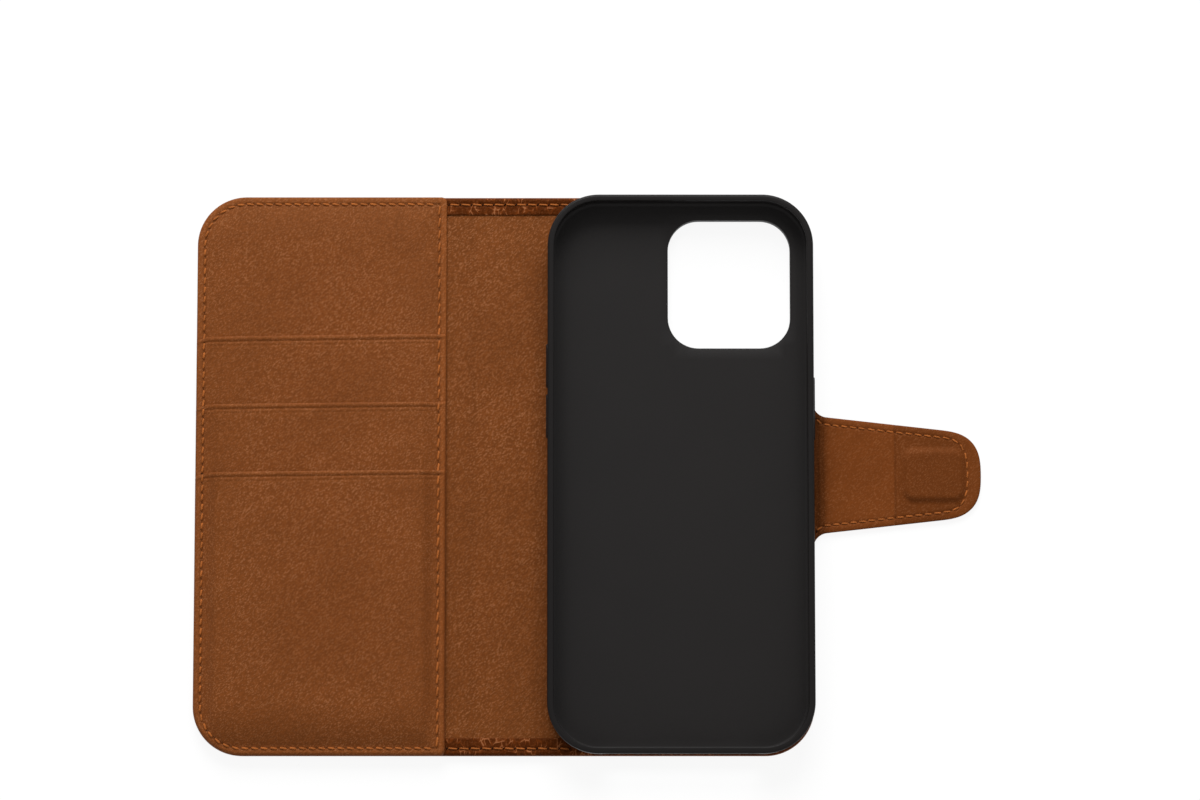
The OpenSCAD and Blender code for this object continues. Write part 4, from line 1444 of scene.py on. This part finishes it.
class StrapSurfaces:
    """Heights of the strap's outer leather and of its lining."""

    ROOT_CLEAR, HOLE_PULL = 1 * MM, 0.08 * MM
    UNDER = 0.015 * MM
    UNDER_RUN = 4 * MM
    EDGE_RISE = 0.38 * MM
    EDGE_ROLL = 0.55 * MM
    SEAT_GAP = 0.02 * MM
    LINING_EDGE = 0.12 * MM
    LINING_ROLL = 1.4 * MM
    LINING_LEAST = 0.03 * MM
    CREASE, CREASE_SPAN = 0.2 * MM, 0.38 * MM
    ROOT_RUN = 5 * MM
    ROOT_PUCKER = 0.16 * MM
    PUCKER_SIZE = 1.5 * MM
    PUCKER_SEED = 8
    PUCKER_ACROSS, PUCKER_ALONG, PUCKER_SINK = 3, 0.35, 0.6
    WRINKLE = 0.12 * MM
    WRINKLE_WIDTH = 0.3 * MM
    WRINKLES = (1.5 * MM, 2.9 * MM)
    SWAY, SWAY_SIZE, SWAY_SEED = 0.25 * MM, 9 * MM, 3
    UNEVEN = 0.04 * MM
    UNEVEN_SIZE = 7 * MM
    UNEVEN_SEED = 4
    UNEVEN_START = 3 * MM
    CUT_WIDTH = 2 * MM
    ROOT_SHADE = 0.5
    ROOT_SHADE_START = 1.2 * MM
    ROOT_SHADE_RUN = 4 * MM
    WRINKLE_SHADE = 0.1
    CREASE_SHADE = 0.3
    CREASE_SHADE_WIDTH = 0.35 * MM
    TIP_SHADE = 0.2
    TIP_SHADE_RUN = 1 * MM
    SEAM_TONE, SEAM_TONE_WIDTH = 0.1, 0.5 * MM
    MARGIN_TONE, MARGIN_START, MARGIN_FADE = 0.14, 6 * MM, 0.5 * MM

    def __init__(self):
        self.shape = StrapShape()
        self.leather, self.seams = setting("leather"), setting("seams")
        self.drawn_in = dimples(self.shape.lines("root") + self.shape.lines("tip"))

    def groove(self, x, y):
        """How far a seam pulls the leather in."""
        if x < BACK_X + self.ROOT_CLEAR:
            return 0.0
        pull = self.leather.groove + self.HOLE_PULL * self.drawn_in(x, y)
        return pull * ridge(self.shape.seam_depth(x, y), self.seams.inset, GROOVE_WIDTH)

    def outside(self, x, y):
        """Outer face of the strap, a hair below the back panel's where it runs on under it."""
        under = -self.UNDER * (1 - smooth((x - BACK_X) / self.UNDER_RUN))
        edge = self.EDGE_RISE * (1 - roll(self.shape.depth(x, y), self.EDGE_ROLL)) if x > BACK_X else 0.0
        return under + edge + self.groove(x, y)

    def seat(self, x, y):
        """Inner face of the outer leather."""
        return OUTER_TOP - self.SEAT_GAP

    def lining(self, x, y):
        """Inner face of the strap, with its folds and the magnet's pad."""
        depth = self.shape.depth(x, y)
        edge = OUTER_TOP + self.LINING_EDGE
        z = edge + (STRAP_TOP - edge) * roll(depth, self.LINING_ROLL)
        z -= self.groove(x, y)
        z -= self.CREASE * ridge(x, FOLD_X["strap_crease"], self.CREASE_SPAN)
        pucker = waves(x * self.PUCKER_ACROSS, y * self.PUCKER_ALONG, self.PUCKER_SIZE, self.PUCKER_SEED)
        z += smooth(1 - (x - BACK_X) / self.ROOT_RUN) * self.ROOT_PUCKER * (pucker - self.PUCKER_SINK)
        z -= self.WRINKLE * self.wrinkles(x, y)
        calm = beside(x, STRAP_MID, self.CUT_WIDTH) * smooth(depth / self.UNEVEN_START)
        z += self.UNEVEN * waves(x, y, self.UNEVEN_SIZE, self.UNEVEN_SEED) * calm
        return max(z, OUTER_TOP + self.LINING_LEAST) + (PAD_TOP - STRAP_TOP) * self.shape.pad(x, y)

    def wrinkles(self, x, y):
        """Upright wrinkles beside the root's fold."""
        sway = self.SWAY * waves(y, x, self.SWAY_SIZE, self.SWAY_SEED)
        return max(ridge(x + sway, BACK_X + place, self.WRINKLE_WIDTH) for place in self.WRINKLES)

    def lining_low(self, x, y):
        """Underside of the lining."""
        return OUTER_TOP

    def tone(self, x, y, z):
        """Painted shade at the root's fold and in its wrinkles, along the crease and on the tip beyond it; lighter
        outside its seam.
        """
        fold, seam_depth = FOLD_X["strap_crease"], self.shape.seam_depth(x, y)
        # Painted shade at the root's fold, in its wrinkles, along the crease and on the tip.
        root = self.ROOT_SHADE * smooth(1 - (x - BACK_X - self.ROOT_SHADE_START) / self.ROOT_SHADE_RUN)
        root += self.WRINKLE_SHADE * self.wrinkles(x, y)
        crease = self.CREASE_SHADE * ridge(x, fold, self.CREASE_SHADE_WIDTH)
        tip = self.TIP_SHADE * smooth((x - fold) / self.TIP_SHADE_RUN)
        seam_line = self.SEAM_TONE * ridge(seam_depth, self.seams.inset, self.SEAM_TONE_WIDTH)
        margin = self.MARGIN_TONE * smooth((x - self.shape.tip_x) / self.MARGIN_START)
        margin *= 1 - smooth((seam_depth - self.seams.inset) / self.MARGIN_FADE)
        return margin - root - crease - tip - seam_line


class FOLIO_OT_strap(bpy.types.Operator):
    """Make the strap: its outer leather, and its lining with the pad over the magnet"""

    bl_idname = "folio.strap"
    bl_label = "Strap"

    EDGE_INSETS = (0, 0.08 * MM, 0.2 * MM)
    SEAM_BAND = (0.4 * MM, 3.2 * MM)
    SEAM_ROWS = 14
    ROOT_ZONE = 3 * MM
    COLUMN = 0.6 * MM
    FOLD_COLUMN = 0.22 * MM
    MIDDLE_COLUMNS = 40
    LINING_TUCK = 0.6 * MM
    LINING_RELIEF, LINING_SHINE = 0.7, 0.07

    def insets(self):
        """Distances from the edge at which rows run."""
        return [*self.EDGE_INSETS, *steps(*self.SEAM_BAND, self.SEAM_ROWS)]

    def root_sheet(self, surfaces, first, low, high):
        """Points and faces of the stretch from the root to the middle of the strap's side."""
        zone = surfaces.leather.strap_zone + self.ROOT_ZONE
        points, loops = [], []
        for x in columns(first, STRAP_MID, FOLD_X["strap_fold"], zone, self.COLUMN, self.FOLD_COLUMN):
            rim = [surfaces.shape.edge(x, inset) for inset in self.insets()]
            ys = [-y for y in rim] + steps(-rim[-1], rim[-1], self.MIDDLE_COLUMNS)[1:-1] + rim[::-1]
            ring = [(x, y, high(x, y)) for y in ys] + [(x, y, low(x, y)) for y in ys[::-1]]
            loops.append(add_loop(points, ring))
        return points, bands(loops, True)

    def tip_sheet(self, surfaces, low, high):
        """Points and faces of the stretch from the middle of the strap's side to the tip."""
        insets = self.insets()
        rows = [(inset, low) for inset in insets[::-1]] + [(inset, high) for inset in insets]
        return sheet(surfaces.shape.tip_path, rows, surfaces.shape.tip_grid(insets[-1]), False)

    def execute(self, context):
        surfaces, leather_set = StrapSurfaces(), setting("leather")
        outer = leather("Outer leather", leather_set.outer, relief=1.0)
        inside = leather("Strap lining leather", leather_set.strap, self.LINING_RELIEF, self.LINING_SHINE)
        for name, first, low, high, material, tone, kind in (
                ("outer", BACK_X - setting("strap").tuck, surfaces.outside, surfaces.seat, outer,
                 lambda x, y, z: 0.0, "leather"),
                ("inner", BACK_X - self.LINING_TUCK, surfaces.lining_low, surfaces.lining, inside,
                 surfaces.tone, "lining")):
            points, faces = self.root_sheet(surfaces, first, low, high)
            root = new_object(f"strap_root_{name}", points, faces, [material], None, tone)
            bends(root, "strap_fold", (f"strap_fold_{kind}", f"strap_side_{kind}"))
            points, faces = self.tip_sheet(surfaces, low, high)
            tip = new_object(f"strap_end_{name}", points, faces, [material], None, tone)
            bends(tip, "strap_crease", (f"strap_crease_{kind}", f"strap_tip_{kind}"))
        return {"FINISHED"}


class FOLIO_OT_seams(bpy.types.Operator):
    """Make the stitches of every seam, inside and outside"""

    bl_idname = "folio.seams"
    bl_label = "Seams"

    HEM_SHARE, HEM_SINK, HEM_START = 0.75, 0.8, 0.6 * MM
    STRAP_SHARE, OUTSIDE_SINK = 0.8, 0.06 * MM

    def execute(self, context):
        seams, groove = setting("seams"), setting("leather").groove
        inside = CoverInside()
        rides(stitch_object("pocket_stitches", inside.lines, inside.surface, 1), "front_cover",
              ("pocket_seam_stitches",))

        def hem(x, y):
            return HEM_TOP - groove * self.HEM_SINK * beside(x, SPINE_MID, CUT_CALM)

        def sunk(x, y):
            return groove + self.OUTSIDE_SINK

        hem_y, corner = HALF_H - seams.inset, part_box("back_hem_stitches")[1].x
        for name, first, last, fold, node in (
                ("cover_hem_stitches", PANEL_RIGHT + self.HEM_START, SPINE_MID, "cover_fold",
                 "spine_hem_stitches"),
                ("back_hem_thread", SPINE_MID, corner, "spine_fold", "back_hem_stitches")):
            lines = [SeamLine([(first, y), (last, y)], seams.hem_pitch) for y in (-hem_y, hem_y)]
            bends(stitch_object(name, lines, hem, 1, self.HEM_SHARE), fold, (node,))
        for name, half, fold, nodes in (("cover_outside_stitches", cover_half(), "cover_fold", ()),
                                        ("back_outside_stitches", back_half(), "spine_fold", None)):
            lines = [SeamLine(half.path(seams.inset), seams.pitch)]
            bends(stitch_object(name, lines, sunk, -1), fold, nodes)
        surfaces = StrapSurfaces()
        for part, fold, node in (("root", "strap_fold", "strap_side_stitches"),
                                 ("tip", "strap_crease", "strap_tip_stitches")):
            lines = surfaces.shape.lines(part)
            thread = stitch_object(f"strap_{part}_thread", lines, surfaces.lining, 1, self.STRAP_SHARE)
            bends(thread, fold, (node,))
            outside = stitch_object(f"strap_{part}_outside_stitches", lines, sunk, -1)
            bends(outside, fold, ())
        return {"FINISHED"}


def pill(long, tall, count):
    """Closed loop of a bar with round ends."""
    r = tall / 2
    ends = [(long / 2 - r + r * math.cos(a), r * math.sin(a)) for a in steps(-QUARTER, QUARTER, count)]
    return ends + [(-u, -v) for u, v in ends]


def prism(points, faces, loop, place, first, last):
    """Adds a straight block with that outline to the points and faces."""
    ends = [add_loop(points, [place(u, v, depth) for u, v in loop]) for depth in (first, last)]
    faces += [*bands(ends, True), *(tuple(end) for end in ends)]


def button_place(node):
    """A button's middle along Y and Z, its length and height, and the way in from its wall."""
    low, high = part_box(node)
    way = 1 if low.x < TRAY_LOW.x else -1
    return (low.y + high.y) / 2, (low.z + high.z) / 2, high.y - low.y, high.z - low.z, way


PILL_STEPS = 12


def tray_plastic(inside):
    """Satin moulded plastic, with a coarser grain inside the tray."""
    base, lighter = setting("tray").plastic, 1.15
    if inside:
        return mottled("Tray inside", [c * lighter for c in base], size=0.5 * MM, rough=0.58, spread=0.1,
                       depth=0.05 * MM, shine=0.16)
    return mottled("Tray plastic", base, size=0.35 * MM, rough=0.42, spread=0.08, depth=0.02 * MM, shine=0.12)


class FOLIO_OT_tray(bpy.types.Operator):
    """Make the moulded tray with its lip, window collar and openings"""

    bl_idname = "folio.tray"
    bl_label = "Tray"

    FLANGE_GAP, PAST, PORT_STEPS = 0.1 * MM, 1 * MM, 16
    SPACING = 0.8 * MM
    FILL_START = 4.4 * MM
    FILL_SPACING = 4 * MM
    UNDER_ROW = 3 * MM
    WALL_ROW = 3 * MM
    FOOT_STEPS = 6
    TOP_STEPS = 8
    LIP_ROUND = 0.35 * MM
    LIP_STEPS = 5
    LIP_EDGE = 0.1 * MM
    FLOOR_ROUND, FLOOR_STEPS = 1.2 * MM, 6
    COLLAR_EDGE = 0.25 * MM
    WINDOW_EDGE = 0.3 * MM
    WINDOW_BEVEL = 0.09 * MM
    WINDOW_CLEAR = 2 * MM
    INSIDE_HIGH, INSIDE_DEPTH, INSIDE_LOW = 0.05 * MM, 0.05 * MM, 0.02 * MM
    SHARP = math.radians(40)

    def openings(self, tray):
        """Object that fills the openings in the walls, to cut them."""
        points, faces = [], []
        reach, gap = 2 * tray.flange_reach, 2 * tray.button_gap
        for node in BUTTONS:
            y, z, long, tall, way = button_place(node)
            wall_x = TRAY_LOW.x if way > 0 else TRAY_HIGH.x
            seat = wall_x + way * (tray.wall - tray.flange - self.FLANGE_GAP)
            past = wall_x + way * (tray.wall + self.PAST)

            def place(u, v, x, y=y, z=z):
                return x, y + u, z + v

            head = pill(long - reach + gap, tall - reach + gap, PILL_STEPS)
            prism(points, faces, head, place, wall_x - way * self.PAST, past)
            prism(points, faces, pill(long + gap, tall + gap, PILL_STEPS), place, seat, past)
        low, high = (Vector(corner) for corner in OPENINGS["charging_opening"])
        x, z = (TRAY_LOW.x + TRAY_HIGH.x) / 2, (low.z + high.z) / 2
        prism(points, faces, pill(tray.port_width, tray.port_height, self.PORT_STEPS),
              lambda u, v, y: (x + u, y, z + v), TRAY_LOW.y - self.PAST, TRAY_LOW.y + tray.wall + self.PAST)
        return new_object("openings", points, faces, [])

    def rows(self, tray, base, top, floor_z, lip_z):
        """Section of the tray from under its floor, round the wall and the lip, to the floor's upper face."""
        r, rim, ease, bowl = tray.rounding, self.LIP_ROUND, self.LIP_EDGE, self.FLOOR_ROUND
        inner, lip = tray.wall, tray.wall + tray.lip_reach
        rows = [(self.FILL_START, flat(base)), (self.UNDER_ROW, flat(base))]
        rows += quarter_rows(r, base + r, r, -QUARTER, self.FOOT_STEPS)
        rows += [(0, flat(base + self.WALL_ROW)), (0, flat(top - self.WALL_ROW))]
        rows += quarter_rows(r, top - r, r, math.pi, self.TOP_STEPS)
        rows += quarter_rows(lip - rim, top - rim, rim, QUARTER, self.LIP_STEPS)
        rows += [(lip, flat(lip_z + ease)), (lip - ease, flat(lip_z)), (inner + ease, flat(lip_z)),
                 (inner, flat(lip_z - ease)), (inner, flat(floor_z + bowl))]
        rows += quarter_rows(inner + bowl, floor_z + bowl, bowl, math.pi, self.FLOOR_STEPS, way=1)[1:]
        return [*rows, (self.FILL_START, flat(floor_z))]

    def window_rows(self, tray, base, floor_z):
        """Section of the window's collar, from the tray's underside round to the floor's upper face."""
        foot, collar, edge, bevel = TRAY_LOW.z, tray.collar, self.COLLAR_EDGE, self.WINDOW_BEVEL
        return [(collar, flat(base)), (collar, flat(foot + edge)), (collar - edge, flat(foot)),
                (edge, flat(foot)), (0, flat(foot + edge)), (0, flat(floor_z - self.WINDOW_EDGE)),
                (bevel, flat(floor_z - bevel)), (self.WINDOW_EDGE, flat(floor_z))]

    def execute(self, context):
        tray, window = setting("tray"), Window()
        loop = RoundedLoop(TRAY_LOW.x, TRAY_LOW.y, TRAY_HIGH.x, TRAY_HIGH.y, (tray.corner_radius,) * 4,
                           self.SPACING)
        base, top = HEM_TOP, TRAY_HIGH.z
        floor_z, lip_z = base + tray.floor, top - tray.lip_height
        keep = window.clear_of(self.WINDOW_CLEAR)
        grid = [p for p in loop.grid(self.FILL_START, self.FILL_SPACING) if keep(*p)]
        points, faces = sheet(loop.path, self.rows(tray, base, top, floor_z, lip_z), grid, True,
                              (window.path, self.window_rows(tray, base, floor_z)))

        def inside_face(centre, normal):
            level = floor_z - self.INSIDE_LOW < centre.z < lip_z + self.INSIDE_HIGH
            return 1 if level and loop.depth(centre.x, centre.y) > tray.wall - self.INSIDE_DEPTH else 0

        piece = new_object("tray", points, faces, [tray_plastic(False), tray_plastic(True)], inside_face)
        cutter = self.openings(tray)
        cut = piece.modifiers.new("Openings", "BOOLEAN")
        cut.object, cut.operation, cut.solver, cut.use_self = cutter, "DIFFERENCE", "EXACT", True
        made = bpy.data.meshes.new_from_object(piece.evaluated_get(context.evaluated_depsgraph_get()))
        if len(made.polygons) < len(piece.data.polygons):
            raise RuntimeError("the tray's openings could not be cut")
        piece.modifiers.clear()
        piece.data = made
        bpy.data.objects.remove(cutter)
        made.set_sharp_from_angle(angle=self.SHARP)
        rides(piece, "back_panel", ("tray_shell",))
        return {"FINISHED"}


class FOLIO_OT_buttons(bpy.types.Operator):
    """Make the volume buttons and the side button"""

    bl_idname = "folio.buttons"
    bl_label = "Buttons"

    FLANGE_EDGE, HEAD_ROUND, HEAD_STEPS = 0.12 * MM, 0.3 * MM, 5
    CROWN_INSET, CROWN = 0.75 * MM, 0.015 * MM

    def execute(self, context):
        tray = setting("tray")
        reach, edge, r = tray.flange_reach, self.FLANGE_EDGE, self.HEAD_ROUND
        for node, body in BUTTONS.items():
            y, z, long, tall, way = button_place(node)
            low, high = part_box(node)
            head, foot = (low.x, high.x) if way > 0 else (high.x, low.x)
            seat = foot - way * tray.flange
            rows = [(edge - reach, foot), (-reach, foot - way * edge), (-reach, seat), (0, seat),
                    (0, head + way * r)]
            rows += [(r * (1 - math.cos(a)), head + way * r * (1 - math.sin(a)))
                     for a in steps(0, QUARTER, self.HEAD_STEPS)[1:]]
            rows.append((self.CROWN_INSET, head + way * self.CROWN))
            points, loops = [], []
            for inset, x in rows:
                outline = pill(long - 2 * (reach + inset), tall - 2 * (reach + inset), PILL_STEPS)
                loops.append(add_loop(points, [(x, y + u, z + v) for u, v in outline]))
            faces = [*bands(loops, True), tuple(loops[0]), tuple(loops[-1])]
            cap = new_object(f"{body}_cap", points, faces, [tray_plastic(False)])
            rides(cap, body, (node,))
        return {"FINISHED"}


class FOLIO_OT_inner_parts(bpy.types.Operator):
    """Finish the parts that lie hidden inside: boards, bond, keeper plate and magnet"""

    bl_idname = "folio.inner_parts"
    bl_label = "Inner parts"

    def execute(self, context):
        inner = setting("inner")
        board = mottled("Stiffener board", inner.board, size=0.9 * MM, rough=0.75, spread=0.15,
                        depth=0.03 * MM)
        bond = mottled("Bond sheet", inner.bond, size=1.5 * MM, rough=0.5, spread=0.06, depth=0.03 * MM)
        steel = mottled("Plated steel", inner.steel, size=0.6 * MM, rough=0.32, spread=0.05, depth=0.01 * MM,
                        metallic=1.0)
        for node, material in (("back_board", board), ("spine_board", board), ("cover_board", board),
                               ("tray_bond", bond), ("keeper_plate", steel), ("clasp_magnet", steel)):
            mesh = frame["nodes"][node].data
            mesh.materials.clear()
            mesh.materials.append(material)
        return {"FINISHED"}


class FOLIO_OT_stage(bpy.types.Operator):
    """Set up the floor, the light and the camera"""

    bl_idname = "folio.stage"
    bl_label = "Stage"

    WHITE = (1, 1, 1, 1)
    KEY_PLACE = Vector((-0.06, 1.08, 0.85))
    UNDER_PLACE = Vector((0, 0, -1.6))
    SHUT, OPEN, SHUT_GLOW = 0.05, 0.3, 0.05

    def seen(self, nodes):
        """1 for the rays that show the background, in the picture or in a reflection."""
        ray = nodes.add("ShaderNodeLightPath").outputs
        return nodes.math("MAXIMUM", ray["Is Camera Ray"], nodes.math(
            "MAXIMUM", ray["Is Glossy Ray"], ray["Is Transmission Ray"]))

    def floor(self, stage):
        """White floor that keeps the shadow, is open from below and lets light through to the underside."""
        material = bpy.data.materials.new("White floor")
        nodes = cleared(material)
        # Ambient occlusion dims the floor's glow near the case: a painted shadow under and inside it.
        sky = nodes.add("ShaderNodeAmbientOcclusion", {"Distance": stage.shade_reach}).outputs["AO"]
        strength = nodes.ramp(sky, self.SHUT, self.OPEN, self.SHUT_GLOW, stage.floor_glow)
        glow = nodes.add("ShaderNodeEmission", {"Color": self.WHITE, "Strength": strength})
        shaded = nodes.add("ShaderNodeBsdfDiffuse", {"Color": solid((stage.floor_shade,) * 3)})
        both = nodes.add("ShaderNodeAddShader", {0: shaded.outputs[0], 1: glow.outputs[0]})
        below = nodes.add("ShaderNodeBsdfTransparent")
        back = nodes.add("ShaderNodeNewGeometry").outputs["Backfacing"]
        shown = nodes.math("SUBTRACT", self.seen(nodes), back)
        surface = nodes.add("ShaderNodeMixShader", {0: shown, 1: below.outputs[0], 2: both.outputs[0]})
        nodes.add("ShaderNodeOutputMaterial", {"Surface": surface.outputs[0]})
        mesh = bpy.data.meshes.new("floor")
        corners = [(x * stage.floor_size, y * stage.floor_size, -stage.floor_gap)
                   for x, y in ((-1, -1), (1, -1), (1, 1), (-1, 1))]
        mesh.from_pydata(corners, [], [range(len(corners))])
        mesh.materials.append(material)
        link("floor", mesh)

    def world(self, stage):
        """Even light that shows as white behind the floor."""
        world = bpy.data.worlds.new("Soft room")
        nodes = cleared(world)
        strength = nodes.ramp(self.seen(nodes), 0.0, 1.0, stage.world, 1.0)
        back = nodes.add("ShaderNodeBackground", {"Color": self.WHITE, "Strength": strength})
        nodes.add("ShaderNodeOutputWorld", {"Surface": back.outputs[0]})
        bpy.context.scene.world = world

    def lamp(self, name, place, size, power):
        """Square lamp that faces the case."""
        data = bpy.data.lights.new(name, "AREA")
        data.energy, data.size = power, size
        lamp = link(name, data)
        lamp.location = place
        lamp.rotation_mode = "QUATERNION"
        lamp.rotation_quaternion = (-place).to_track_quat("-Z", "Y")

    def execute(self, context):
        stage = setting("stage")
        self.floor(stage)
        self.world(stage)
        self.lamp("key", self.KEY_PLACE, stage.key_size, stage.key)
        self.lamp("under", self.UNDER_PLACE, stage.under_size, stage.under)
        data = bpy.data.cameras.new("camera")
        data.lens = data.sensor_width * stage.distance / stage.view_width
        camera = link("camera", data)
        back = Vector((0, -math.sin(stage.tilt), math.cos(stage.tilt)))
        camera.location = Vector((stage.centre_x, stage.centre_y, 0)) + back * stage.distance
        camera.rotation_euler = (stage.tilt, 0, 0)
        context.scene.camera = camera
        context.scene.view_settings.view_transform = "Standard"
        return {"FINISHED"}


class FOLIO_PT_panel(bpy.types.Panel):
    """Lists the makers of the case's pieces"""

    bl_idname = "FOLIO_PT_panel"
    bl_label = "Folio case"
    bl_space_type = "VIEW_3D"
    bl_region_type = "UI"
    bl_category = "Folio case"

    def draw(self, context):
        for operator in OPERATORS:
            self.layout.operator(operator.bl_idname)


GROUPS = {"folio_leather": FolioLeather, "folio_seams": FolioSeams, "folio_pockets": FolioPockets,
          "folio_tray": FolioTray, "folio_strap": FolioStrap, "folio_inner": FolioInner,
          "folio_stage": FolioStage}
OPERATORS = (FOLIO_OT_outer_leather, FOLIO_OT_lining, FOLIO_OT_pocket_panel, FOLIO_OT_slip_pockets,
             FOLIO_OT_strap, FOLIO_OT_seams, FOLIO_OT_tray, FOLIO_OT_buttons, FOLIO_OT_inner_parts,
             FOLIO_OT_stage)


def register():
    """Add the settings, the makers and the panel to Blender."""
    for name, group in GROUPS.items():
        bpy.utils.register_class(group)
        setattr(bpy.types.Scene, name, PointerProperty(type=group))
    for operator in (*OPERATORS, FOLIO_PT_panel):
        bpy.utils.register_class(operator)


def unregister():
    """Take them out again."""
    for operator in (FOLIO_PT_panel, *reversed(OPERATORS)):
        bpy.utils.unregister_class(operator)
    for name, group in GROUPS.items():
        delattr(bpy.types.Scene, name)
        bpy.utils.unregister_class(group)


def main():
    """Make every piece."""
    register()
    bpy.ops.folio.outer_leather()
    bpy.ops.folio.lining()
    bpy.ops.folio.pocket_panel()
    bpy.ops.folio.slip_pockets()
    bpy.ops.folio.strap()
    bpy.ops.folio.seams()
    bpy.ops.folio.tray()
    bpy.ops.folio.buttons()
    bpy.ops.folio.inner_parts()
    bpy.ops.folio.stage()


if __name__ == "__main__":
    main()
